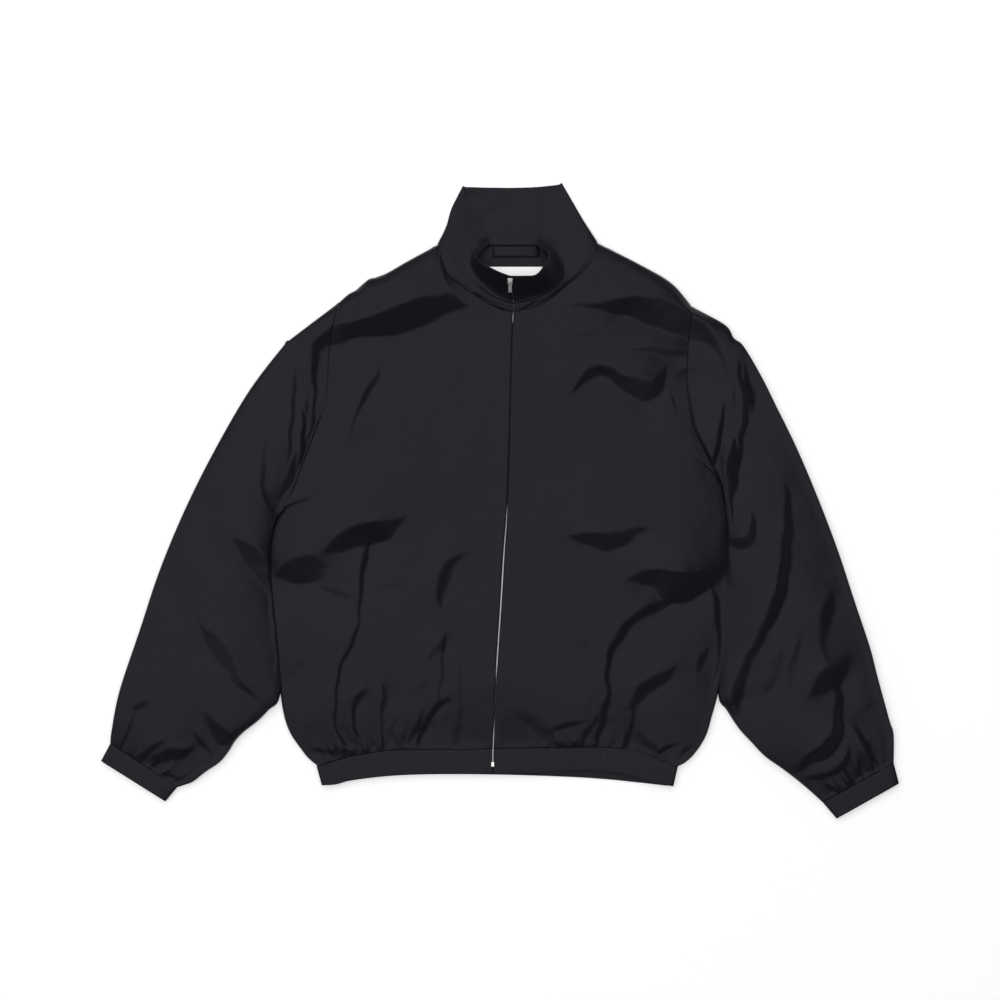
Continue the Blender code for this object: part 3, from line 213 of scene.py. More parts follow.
# Folds, each as its steepness and the middle of its steep face, with the face's width. Walking along it, the
# cloth is high on the left and low on the right.
FOLD_COLUMNS = ("x", "y", "width")
BODY_FOLDS = [
    # right front, shoulder
    (0.5, [(-229, 114, 1.9), (-231, 138, 7.5), (-232, 163, 10), (-230, 183, 13.8), (-221, 197, 18.8),
            (-204, 206, 22.5), (-185, 212, 23.8), (-160, 217, 27.5), (-135, 222, 32.5), (-110, 231, 37.5),
            (-85, 239, 32.5), (-62, 246, 25), (-41, 243, 3.8)]),
    # left front, shoulder
    (0.5, [(78, 243, 1.9), (98, 243, 6.2), (120, 242, 10), (140, 241, 17.5), (160, 242, 27.5),
            (179, 239, 35), (200, 233, 37.5), (220, 224, 35), (238, 216, 30), (252, 208, 23.8),
            (264, 198, 17.5), (272, 186, 12.5), (279, 171, 10), (284, 154, 8.8), (288, 138, 2.5)]),
    # right front, beside the armhole
    (0.5, [(-226, 109, 1.2), (-219, 123, 5), (-218, 138, 5), (-218, 156, 1.2)]),
    (0.5, [(-191, 74, 1.2), (-182, 96, 4.4), (-174, 117, 8.1), (-164, 136, 11.2), (-155, 151, 10),
            (-148, 163, 1.9)]),
    # right front, waist
    (0.5, [(-219, -63, 3.8), (-202, -56, 22.5), (-185, -47, 27.5), (-165, -41, 32.5), (-145, -36, 25),
            (-130, -29, 15), (-119, -24, 3.8)]),
    (0.42, [(-276, -92, 10), (-261, -89, 30), (-244, -86, 40), (-229, -83, 32.5), (-216, -81, 5)]),
    (0.25, [(-228, -106, 3.8), (-212, -112, 12.5), (-196, -117, 11.2), (-184, -121, 2.5)]),
    # right front, long crease
    (0.62, [(-186, -311, 6.2), (-198, -297, 8.8), (-204, -281, 6.9), (-205, -259, 6.2), (-204, -237, 6.2),
            (-200, -214, 6.2), (-192, -193, 6.9), (-184, -174, 6.9), (-176, -156, 5.6), (-175, -134, 6.2),
            (-174, -112, 7.5), (-171, -89, 9.4), (-166, -66, 11.2), (-161, -53, 3.8)]),
    # right front, beside the zip
    (0.45, [(-75, -136, 1.9), (-74, -114, 12.5), (-70, -96, 17.5), (-62, -81, 15), (-52, -71, 8.8),
            (-41, -63, 1.2)]),
    (0.2, [(-151, -109, 3.8), (-140, -107, 12.5), (-125, -103, 5)]),
    (0.2, [(-112, -76, 3.8), (-104, -71, 12.5), (-95, -66, 5)]),
    (0.35, [(-88, -199, 3.8), (-80, -187, 13.8), (-71, -176, 12.5), (-65, -164, 3.8)]),
    (0.6, [(-79, -254, 1.9), (-76, -237, 3.8), (-72, -212, 3.8), (-71, -187, 4.4), (-71, -174, 1.9)]),
    (0.62, [(-106, -311, 3.8), (-99, -293, 6.9), (-90, -277, 6.9), (-82, -262, 6.9), (-75, -252, 8.1),
            (-62, -244, 1.9)]),
    (0.35, [(-99, -236, 2.5), (-94, -229, 7.5), (-89, -218, 2.5)]),
    (0.2, [(-261, -217, 5), (-254, -208, 16.2), (-245, -199, 6.2)]),
    (0.35, [(-211, -202, 1.2), (-208, -194, 5), (-202, -186, 1.2)]),
    # right front, over the hem
    (0.45, [(-186, -266, 3.8), (-180, -253, 11.2), (-172, -242, 11.2), (-166, -234, 3.8)]),
    (0.6, [(-162, -312, 3.8), (-174, -299, 6.2), (-181, -283, 6.9), (-185, -263, 3.8)]),
    (0.45, [(-145, -308, 3.8), (-146, -293, 6.2), (-148, -274, 6.2), (-146, -257, 7.5), (-144, -244, 11.2),
            (-148, -229, 3.8)]),
    (0.35, [(-158, -309, 3.8), (-158, -297, 7.5), (-162, -282, 5), (-166, -269, 2.5)]),
    (0.45, [(-138, -306, 2.5), (-136, -289, 5), (-132, -277, 3.8), (-129, -267, 1.2)]),
    (0.45, [(-125, -311, 2.5), (-122, -299, 6.2), (-120, -287, 5), (-119, -274, 1.2)]),
    (0.55, [(-115, -304, 2.5), (-109, -291, 8.8), (-101, -277, 8.8), (-95, -262, 2.5)]),
    (0.25, [(-65, -304, 2.5), (-69, -292, 7.5), (-71, -279, 6.2), (-74, -267, 2.5)]),
    (0.3, [(-59, -309, 7.5), (-55, -293, 12.5), (-50, -274, 8.8), (-49, -249, 6.2), (-49, -199, 5),
            (-49, -137, 2.5)]),
    (0.2, [(-229, -277, 2.5), (-225, -259, 6.2), (-224, -242, 2.5)]),
    (0.22, [(-235, -311, 3.8), (-222, -313, 9), (-208, -314, 10), (-191, -314, 9), (-178, -312, 3.8)]),
    (0.7, [(-224, -309, 3), (-221, -313, 6), (-222, -319, 3)]),
    (0.7, [(-212, -306, 3), (-211, -311, 6), (-208, -318, 4)]),
    (0.6, [(-204, -305, 3), (-201, -311, 5), (-196, -317, 4)]),
    (0.6, [(-193, -308, 3), (-189, -313, 5), (-186, -318, 3)]),
    (0.6, [(-176, -302, 2), (-173, -308, 4), (-174, -314, 3)]),
    (0.6, [(-158, -297, 2), (-155, -305, 4), (-156, -312, 3)]),
    (0.6, [(-131, -290, 2), (-129, -301, 5), (-131, -311, 3)]),
    (0.5, [(-117, -293, 2), (-115, -302, 4), (-117, -311, 3)]),
    # left front, under the shoulder
    (0.28, [(91, 204, 1.9), (106, 209, 8.8), (121, 208, 10), (136, 201, 8.8), (151, 193, 6.2),
            (162, 189, 2.5)]),
    (0.5, [(160, 191, 2.5), (179, 188, 11.2), (200, 186, 13.8), (220, 184, 13.8), (238, 187, 8.8),
            (251, 189, 2.5)]),
    (0.45, [(220, 163, 2.5), (231, 163, 11.2), (242, 162, 12.5), (254, 157, 3.8)]),
    # left front, chest arc
    (0.48, [(91, 134, 1.9), (100, 147, 10), (110, 157, 15), (125, 163, 16.2), (139, 158, 17.5),
            (152, 149, 21.2), (168, 142, 28.8), (182, 139, 32.5), (195, 143, 22.5), (202, 153, 12.5),
            (206, 164, 2.5)]),
    (0.15, [(58, 186, 3.8), (71, 182, 13.8), (85, 174, 5)]),
    (0.45, [(219, 114, 1.2), (215, 126, 5), (211, 138, 1.2)]),
    # left front, waist
    (0.45, [(86, -43, 3.8), (102, -46, 16.2), (120, -49, 21.2), (136, -51, 26.2), (154, -46, 18.8),
            (170, -38, 13.8), (186, -36, 2.5)]),
    (0.5, [(159, -98, 3.8), (175, -96, 18.8), (192, -97, 26.2), (210, -104, 38.8), (228, -107, 42.5),
            (245, -103, 32.5), (260, -99, 27.5), (272, -97, 5)]),
    (0.4, [(269, -218, 3.8), (274, -193, 7.5), (274, -164, 8.8), (271, -133, 11.2), (266, -109, 7.5)]),
    # left front, long crease
    (0.55, [(118, -309, 3.8), (122, -293, 8.8), (128, -274, 10.6), (132, -257, 10), (135, -237, 6.2),
            (134, -218, 7.5), (136, -199, 8.8), (141, -183, 11.2), (150, -167, 12.5), (162, -152, 12.5),
            (176, -142, 12.5), (191, -134, 13.8), (206, -128, 13.8), (218, -122, 3.8)]),
    (0.42, [(162, -261, 2.5), (169, -249, 15), (179, -237, 17.5), (192, -227, 16.2), (205, -218, 15),
            (218, -208, 3.8)]),
    # left front, over the hem
    (0.55, [(159, -311, 2.5), (160, -293, 5.6), (165, -274, 5.6), (168, -258, 2.5)]),
    (0.3, [(249, -211, 3.8), (252, -198, 15), (259, -186, 5)]),
    (0.15, [(94, -182, 3.8), (104, -177, 16.2), (114, -169, 5)]),
    (0.25, [(111, -283, 2.5), (112, -264, 6.2), (115, -247, 5), (116, -234, 1.2)]),
    (0.35, [(162, -257, 1.2), (159, -242, 5), (156, -224, 1.2)]),
    (0.4, [(61, -288, 1.9), (75, -283, 6.9), (89, -279, 6.9), (105, -277, 1.9)]),
    (0.13, [(21, -262, 5), (35, -272, 15), (50, -284, 16.2), (65, -299, 12.5), (75, -309, 3.8)]),
    (0.5, [(99, -307, 2.5), (108, -289, 7.5), (114, -279, 6.2), (120, -268, 1.9)]),
    (0.2, [(45, -309, 3.8), (65, -308, 9), (85, -309, 10), (106, -309, 10), (125, -308, 5)]),
    (0.6, [(68, -294, 2), (67, -302, 5), (70, -310, 3)]),
    (0.6, [(75, -298, 2), (77, -304, 4), (75, -311, 3)]),
    (0.55, [(55, -297, 2), (57, -303, 4), (60, -310, 3)]),
    (0.6, [(121, -296, 2), (118, -303, 5), (119, -310, 3)]),
    (0.5, [(148, -300, 2), (146, -306, 4), (149, -313, 3)]),
    (0.5, [(79, -312, 2.5), (82, -302, 5), (82, -293, 2.5)]),
    (0.5, [(90, -312, 2.5), (95, -302, 5), (98, -293, 2.5)]),
    (0.6, [(86, -291, 2), (88, -300, 5), (92, -311, 3)]),
    (0.55, [(107, -295, 2), (105, -303, 4), (108, -311, 3)]),
    (0.3, [(140, -312, 3.8), (144, -303, 10), (142, -291, 3.8)]),
    (0.3, [(152, -312, 3.8), (156, -302, 8.8), (158, -289, 3.8)]),
    (0.3, [(171, -288, 3.8), (181, -301, 15), (194, -312, 12.5), (202, -321, 3.8)]),
    (0.5, [(195, -326, 2.5), (200, -314, 6.2), (209, -307, 5.6), (221, -304, 1.9)]),
    (0.35, [(226, -321, 3.8), (232, -312, 8.8), (240, -306, 3.8)]),
]
# Gathers over the hem band: place along the hem, width, reach up the front, height
HEM_GATHERS = [
    (-215, 14, 26, 3.0), (-198, 13, 34, 3.5), (-184, 14, 70, 4.5), (-166, 15, 40, 3.0), (-149, 13, 60, 4.5),
    (-134, 13, 30, 4.0), (-119, 13, 34, 4.0), (-104, 14, 48, 4.5), (-86, 15, 30, 3.5), (-66, 18, 24, 2.5),
    (-45, 18, 20, 2.0), (42, 18, 26, 2.5), (58, 14, 30, 3.5), (73, 12, 26, 4.0), (87, 12, 24, 4.0),
    (101, 13, 36, 4.0), (117, 13, 50, 4.5), (134, 14, 34, 3.5), (152, 14, 50, 4.5), (170, 15, 30, 3.5),
    (188, 14, 26, 3.5), (204, 13, 22, 3.0),
]

SATIN_NAVY = (0.0072, 0.0068, 0.0096)
SATIN_DEEP = (0.0054, 0.0051, 0.0072)


def tint(tree, shader, texture, low, high):
    """Colours a shader between two tones, by a texture."""
    tones = add_node(tree, "Mix", {6: (*low, 1), 7: (*high, 1)})
    tones.data_type = "RGBA"
    set_inputs(tones, {"Factor": texture.outputs["Fac"]})
    set_inputs(shader, {"Base Color": tones.outputs[2]})


def vary_gloss(tree, shader, texture, low, high):
    rough = add_node(tree, "MapRange", {"Value": texture.outputs["Fac"], "To Min": low, "To Max": high})
    set_inputs(shader, {"Roughness": rough.outputs["Result"]})


def add_bump(tree, shader, texture, strength, distance, under=None):
    """Fine relief by a texture, over the relief of another bump if there is one."""
    bump = add_node(tree, "Bump", {
        "Height": texture.outputs["Fac"], "Strength": strength, "Distance": distance})
    if under:
        set_inputs(bump, {"Normal": under.outputs["Normal"]})
    set_inputs(shader, {"Normal": bump.outputs["Normal"]})
    return bump


# Woven satin: a fine twill, a soft mottle of tone and gloss, and the slight waviness of slack cloth
navy_satin, tree, shader, place = new_material("navy_satin", {
    "Specular IOR Level": 0.178, "Specular Tint": (0.86, 0.83, 1, 1), "Sheen Weight": 0.03,
    "Sheen Roughness": 0.4, "Sheen Tint": (0.75, 0.78, 1, 1)})
mottle = add_node(tree, "TexNoise", {"Vector": place["Object"], "Scale": 9, "Detail": 3})
tint(tree, shader, mottle, SATIN_DEEP, SATIN_NAVY)
vary_gloss(tree, shader, mottle, 0.35, 0.45)
twill = add_node(tree, "TexWave", {"Vector": place["UV"], "Scale": 420, "Distortion": 1.0, "Detail": 1})
twill.bands_direction = "DIAGONAL"
twill_bump = add_bump(tree, shader, twill, 0.25, 0.00006)
slack = add_node(tree, "TexNoise", {"Vector": place["Object"], "Scale": 15, "Detail": 2.5})
add_bump(tree, shader, slack, 0.6, 0.006, twill_bump)


def catmull_rom(a, b, c, d, t):
    """A smooth curve from b to c, between a and d, at a share t of its way."""
    return 0.5 * (2 * b + (c - a) * t + (2 * a - 5 * b + 4 * c - d) * t**2 + (3 * b - 3 * c + d - a) * t**3)


def along(points, count=400):
    """A smooth curve through the points, as positions at equal steps of its length."""
    p = np.array(points, float)
    ends = np.vstack([2 * p[0] - p[1], p, 2 * p[-1] - p[-2]])
    t = np.linspace(0, 1, 24, endpoint=False)[:, None]
    runs = [catmull_rom(*knots, t) for knots in zip(ends, ends[1:], ends[2:], ends[3:])]
    dense = np.vstack([*runs, p[-1:]])
    far = np.concatenate([[0], np.cumsum(np.linalg.norm(np.diff(dense, axis=0), axis=1))])
    steps = np.linspace(0, far[-1], count)
    return np.column_stack([np.interp(steps, far, dense[:, k]) for k in range(p.shape[1])])


def read(curve, share):
    """The point of a sampled curve at a share of its length."""
    place = np.linspace(0, 1, len(curve))
    return np.stack([np.interp(share, place, curve[:, k]) for k in range(curve.shape[1])], axis=-1)


def length(curve):
    return np.linalg.norm(np.diff(curve, axis=0), axis=1).sum()


def patch(low, high, start, end, u, start_share, end_share, low_weight):
    """A surface between four edges: low and high run with u, start and end upwards at their own shares."""
    a, b = u[..., None], 1 - low_weight[..., None]
    corners = ((1 - a) * (1 - b) * low[0] + a * (1 - b) * low[-1]
               + (1 - a) * b * high[0] + a * b * high[-1])
    return ((1 - b) * read(low, u) + b * read(high, u)
            + (1 - a) * read(start, start_share) + a * read(end, end_share) - corners)


def roll(distance, radius):
    """How far a cloth has risen at this distance from a rolled edge, from 0 to 1."""
    near = np.clip(distance / radius, 0, 1)
    return np.sqrt(1 - (1 - near) ** 2)


def arch(share, squareness=4.0):
    """The height of a flattened tube across its width, from 0 at both edges to 1."""
    return (1 - np.abs(2 * np.clip(share, 0, 1) - 1) ** squareness) ** (1 / squareness)


def table(rows, at):
    places, values = np.array(rows, float).T
    return np.interp(at, places, values)


def zip_x(y):
    line = along(ZIP_LINE)
    return np.interp(y, line[:, 1], line[:, 0])


def soft(distance, reach):
    """How far a cloth has settled at this distance from an edge, from 0 to 1."""
    near = np.clip(distance / reach, 0, 1)
    return near * (3 - near**2) / 2


def settle(distance, rim, crown, level, reach):
    """Height near a round edge: up from the rim over the edge to the crown, then softly to the level."""
    return rim + (crown - rim) * roll(distance, EDGE_ROUND) + (level - crown) * soft(distance, reach)


def fold_relief(folds):
    """Heights over a grid of the laid jacket: as steep as each fold's face, and eased out all round it."""
    axes = [np.arange(low, high, FOLD_CELL) for low, high in zip(RELIEF_START, RELIEF_END)]
    grid = np.stack(np.meshgrid(*axes, indexing="ij"), axis=-1)
    x, y = grid[..., 0], grid[..., 1]
    grid = grid + FOLD_WANDER * np.stack([np.sin(x / 9 + 1.7 * np.sin(y / 14)) + np.sin(y / 6.1 + x / 21),
                                          np.sin(y / 8 + 1.9 * np.sin(x / 12)) + np.sin(x / 5.3 - y / 17)],
                                         axis=-1) / 2
    slope = np.zeros(grid.shape)
    for steepness, points in folds:
        line = along(points, 120)
        widths = np.maximum(line[:, FOLD_COLUMNS.index("width")], 1.5)
        widths = widths * (FOLD_NARROWING + (1 - FOLD_NARROWING) * np.clip(widths / FOLD_UNCHANGED, 0, 1))
        line = line[:, :2]
        reach = widths.max() + FOLD_EDGE
        near = np.all((grid > line.min(0) - reach) & (grid < line.max(0) + reach), axis=-1)
        gap = grid[near][:, None, :] - line
        nearest = np.argmin((gap**2).sum(-1), axis=-1)
        distance = np.sqrt(np.min((gap**2).sum(-1), axis=-1))
        heading = np.gradient(line, axis=0)[nearest]
        heading /= np.linalg.norm(heading, axis=-1, keepdims=True)
        half = widths[nearest] / 2
        edge = np.minimum(FOLD_EDGE, 0.6 * half)
        face = np.clip((half + edge - distance) / (2 * edge), 0, 1)
        face = face**2 * (3 - 2 * face)
        downhill = np.column_stack([heading[:, 1], -heading[:, 0]])
        slope[near] -= steepness * (1 + half / FOLD_WIDE)[:, None] * face[:, None] * downhill
    waves = np.stack(np.meshgrid(*[2 * np.pi * np.fft.fftfreq(len(axis), FOLD_CELL) for axis in axes],
                                 indexing="ij"), axis=-1)
    turned = np.fft.fft2(slope, axes=(0, 1))
    heights = -1j * (waves * turned).sum(-1) / ((waves**2).sum(-1) + FOLD_EASE**-2)
    return np.fft.ifft2(heights).real


def relief_at(relief, xy):
    place = (xy - RELIEF_START) / FOLD_CELL
    i, j = np.moveaxis(np.floor(place).astype(int), -1, 0)
    a, b = np.moveaxis(place - np.floor(place), -1, 0)
    return ((1 - a) * (1 - b) * relief[i, j] + a * (1 - b) * relief[i + 1, j]
            + (1 - a) * b * relief[i, j + 1] + a * b * relief[i + 1, j + 1])


body_relief = fold_relief(BODY_FOLDS)


def gather_height(places, rows, distance):
    """Ridges that start at a gathered seam and die away from it."""
    added = np.zeros(places.shape)
    for place, width, reach, height in rows:
        across = np.clip(1 - np.abs(places - place) / (width / 2), 0, 1)
        added += height * (across**2 * (3 - 2 * across)) * np.exp(-np.maximum(distance, 0) / (reach * 0.6))
    return added


def neck_height(share):
    """Height of the neck seam, from the zip at 0 to the shoulder at 1, where it turns over the outline."""
    return SIDE_RIM + (NECK_RISE - SIDE_RIM) * (1 - np.clip(share, 0, 1) ** 12) ** (1 / 3)


def armhole_height(share):
    """Height of the armhole's seam, from the underarm at 0 to the shoulder at 1, where it turns over."""
    return SIDE_RIM + (CHEST_RISE - SIDE_RIM) * arch(0.5 + 0.5 * share)


def away_from_zip(xy):
    """0 on the zip, where the fronts lie level, and 1 from a little way beside it."""
    near = np.clip((np.abs(xy[..., 0] - zip_x(xy[..., 1])) - ZIP_LEVEL) / ZIP_EASE, 0, 1)
    return near**2 * (3 - 2 * near)


def front_surface(side, u, v):
    """Outer face of one front, at shares u from zip to side and v from hem to shoulder."""
    sign = 1 if side == "left" else -1
    u = 1 - (1 - u) ** SIDE_CROWDING
    seam = along(ARMHOLE[side])
    flank = along(SIDE[side])
    outer = along(np.vstack([flank[:-1:12], seam[::12]]))
    underarm = length(flank) / (length(flank) + length(seam))
    neck = along(NECK[side][::-1])
    shoulder = along(SHOULDER[side][::-1])
    neck_end = length(neck) / (length(neck) + length(shoulder))
    top = along(np.vstack([neck[:-1:12], shoulder[::12]]))
    rows = np.linspace(HEM_Y, NECK_Y, 200)
    middle = np.column_stack([zip_x(rows) + sign * table(ZIP_HALF_GAP, rows), rows])
    low = along(HEM[side])
    outer[0], top[-1] = low[-1], outer[-1]
    top[0] = middle[-1]
    low[0] = middle[0]
    xy = patch(low, top, middle, outer, u, v, v, 1 - v)
    width = np.linalg.norm(read(outer, v) - read(middle, v), axis=-1)
    from_side = (1 - u) * width
    from_top = np.linalg.norm(xy - read(top, u), axis=-1)
    from_hem = np.linalg.norm(xy - read(low, u), axis=-1)
    in_armhole = np.clip((v - underarm) / (1 - underarm), 0, 1)
    at_armhole = np.clip((v - underarm) / CORNER_SHARE, 0, 1)
    side_rim = SIDE_RIM + (armhole_height(in_armhole) - SIDE_RIM) * at_armhole
    top_rim = np.where(u < neck_end, neck_height(np.clip(u / neck_end, 0, 1)), SIDE_RIM)
    top_reach = NECK_REACH + (SHOULDER_REACH - NECK_REACH) * np.clip((u - neck_end) / SHOULDER_SHARE, 0, 1)
    own = relief_at(body_relief, xy) * soft(from_top, FOLDS_FROM_TOP) * soft(from_hem, FOLDS_FROM_HEM)
    own = own * away_from_zip(xy) * np.maximum(soft(from_side, FOLDS_FROM_SIDE), at_armhole)
    side_reach = SIDE_REACH + (ARMHOLE_REACH - SIDE_REACH) * at_armhole
    rise = table(FRONT_RISE, xy[..., 1])
    rise = settle(from_side, side_rim, np.maximum(side_rim, SIDE_CROWN), rise, side_reach)
    at_shoulder = np.clip((u - neck_end) / CORNER_SHARE + 1, 0, 1)
    rise = settle(from_top, top_rim, top_rim + (SIDE_CROWN - top_rim) * at_shoulder, rise, top_reach)
    hem_rim = SIDE_RIM + (BAND_TOP - SIDE_RIM) * roll(from_side, EDGE_ROUND)
    rise = settle(from_hem, hem_rim, hem_rim, rise, HEM_REACH)
    gathers = gather_height(xy[..., 0], HEM_GATHERS, from_hem) * roll(from_hem, GATHERS_FROM_HEM)
    gathers *= roll(from_side, GATHERS_FROM_SIDE)
    rise = np.maximum(rise + own + gathers * HEM_GATHER_SHARE, np.minimum(rise, LOWEST_FRONT))
    return np.concatenate([xy, rise[..., None]], axis=-1)


def add_cloth(name, surface, cells, cut, finish, wall=CLOTH, offset=-1.0, around=False):
    """A panel: a grid laid over the surface, with a map of the cloth's threads and its wall."""
    bm = bmesh.new()
    threads = bm.loops.layers.uv.new("threads")
    bmesh.ops.create_grid(bm, x_segments=cells[0], y_segments=cells[1], size=0.5, calc_uvs=True)
    for face in bm.faces:
        for loop in face.loops:
            loop[threads].uv = ((loop.vert.co.x + 0.5) * cut[0], (loop.vert.co.y + 0.5) * cut[1])
    shares = np.array([v.co[:2] for v in bm.verts]) + 0.5
    places = surface(shares[:, 0], shares[:, 1]) * MM
    for vert, place in zip(bm.verts, places):
        vert.co = place
    if around:
        bmesh.ops.remove_doubles(bm, verts=bm.verts, dist=1e-6)
    bmesh.ops.recalc_face_normals(bm, faces=bm.faces)
    bm.normal_update()
    highest = max(bm.faces, key=lambda face: face.calc_center_median().z)
    if highest.normal.z < 0:
        bmesh.ops.reverse_faces(bm, faces=bm.faces)
    return finish_piece(name, bm, finish, wall, offset)


def finish_piece(name, bm, finish, wall=0.0, offset=-1.0):
    mesh = bpy.data.meshes.new(name)
    bm.to_mesh(mesh)
    bm.free()
    mesh.materials.append(finish)
    mesh.shade_smooth()
    mesh.set_sharp_from_angle(angle=math.radians(50))
    made = bpy.data.objects.new(name, mesh)
    scene.collection.objects.link(made)
    if wall:
        solidify = made.modifiers.new("wall", "SOLIDIFY")
        solidify.thickness = wall * MM
        solidify.offset = offset
    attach(made, "jacket")
    return made


for side in ("left", "right"):
    panel = add_cloth(f"{side}_front_cloth", partial(front_surface, side), FRONT_CELLS, FRONT_CUT, navy_satin)
    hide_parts(f"front_{side}")

# ------------------------------------------------------------------------------------------ sleeves
# Wide sleeves set into the dropped armholes, each a tube of the same satin pressed flat by its own weight. It
# lies against the body's side down to the elbow, and is gathered into the cuff.
SLEEVE_RISE = [(0, 14), (0.12, 15), (0.3, 19), (0.6, 21), (0.85, 19), (1, 15)]  # (share down, height)
SLEEVE_CROWN = 11.5
HEAD_REACH = 60
WRIST_REACH = 45
CUFF_GATHER_SHARE = 0.5
SLEEVE_CELLS = (170, 240)
EDGE_CROWDING = 0.65    # the grid's lines crowd towards both edges, for their round shape
INNER_LAG = 1.8         # the inner edge is the shorter one, so its places come later down the sleeve
PLEAT_WIDTH = 10        # of the lower layer where it lies on the back's edge, and how far from the armhole
PLEAT_REACH = 60
SLEEVE_CUT = (0.36, 0.56)
SIDE_UNDER = 5.5        # how far the sleeve's inner edge lies under the body's side, down to where they part
SIDES_PART_Y = -246
PART_EASE = 25
SIDE_MEET = 8.2         # its height there
HEAD_UNDER = 0.8        # how far the sleeve's head goes in under the armhole's edge, and how much lower
HEAD_DIP = 0.05
DIP_REACH = 3
BAND_SQUARENESS = 6     # of the flattened sleeve at the wrist, and of the cuff
SLEEVE_FOLDS_FROM_HEAD, SLEEVE_FOLDS_FROM_CUFF, SLEEVE_FOLDS_FROM_EDGE = 8, 6, 12
GATHERS_FROM_CUFF = 12
SLEEVE_OUTER = {
    "left": [(240, 242), (281, 219.4), (292, 203), (304, 193), (326, 156), (345, 118), (370, 67), (395.6, 7),
             (421, -59.4), (443, -126), (462, -183), (471, -218), (486, -273), (491.5, -292), (491.5, -328)],
    "right": [(-201.5, 247), (-262.5, 200.6), (-268, 196), (-312.5, 138), (-356.3, 63), (-393.8, -12),
              (-425, -87), (-450, -162), (-475, -237), (-485, -287), (-486.5, -303.5)],
}
SLEEVE_INNER = {
    "left": [(279.5, 17), (286, -25), (286.8, -85), (286.2, -152), (281.4, -199), (273, -245), (283, -262),
             (297.5, -284), (312.5, -300.6), (330.6, -319.4), (351, -334), (369, -347.6), (387.5, -363),
             (403, -377)],
    "right": [(-283, -24), (-289.5, -42), (-293, -72), (-287, -122), (-280.3, -187), (-275.3, -245),
              (-289, -262), (-302.5, -275.6), (-320, -289.4), (-330.5, -300.6), (-339.3, -314.4),
              (-350, -327), (-367.5, -339), (-383, -351), (-392, -354.5), (-403, -358)],
}
CUFF_EDGE = {  # outer and inner corner of the cuff's free edge
    "left": [(498, -353), (420, -396.9)],
    "right": [(-498, -325), (-417.5, -375.5)],
}
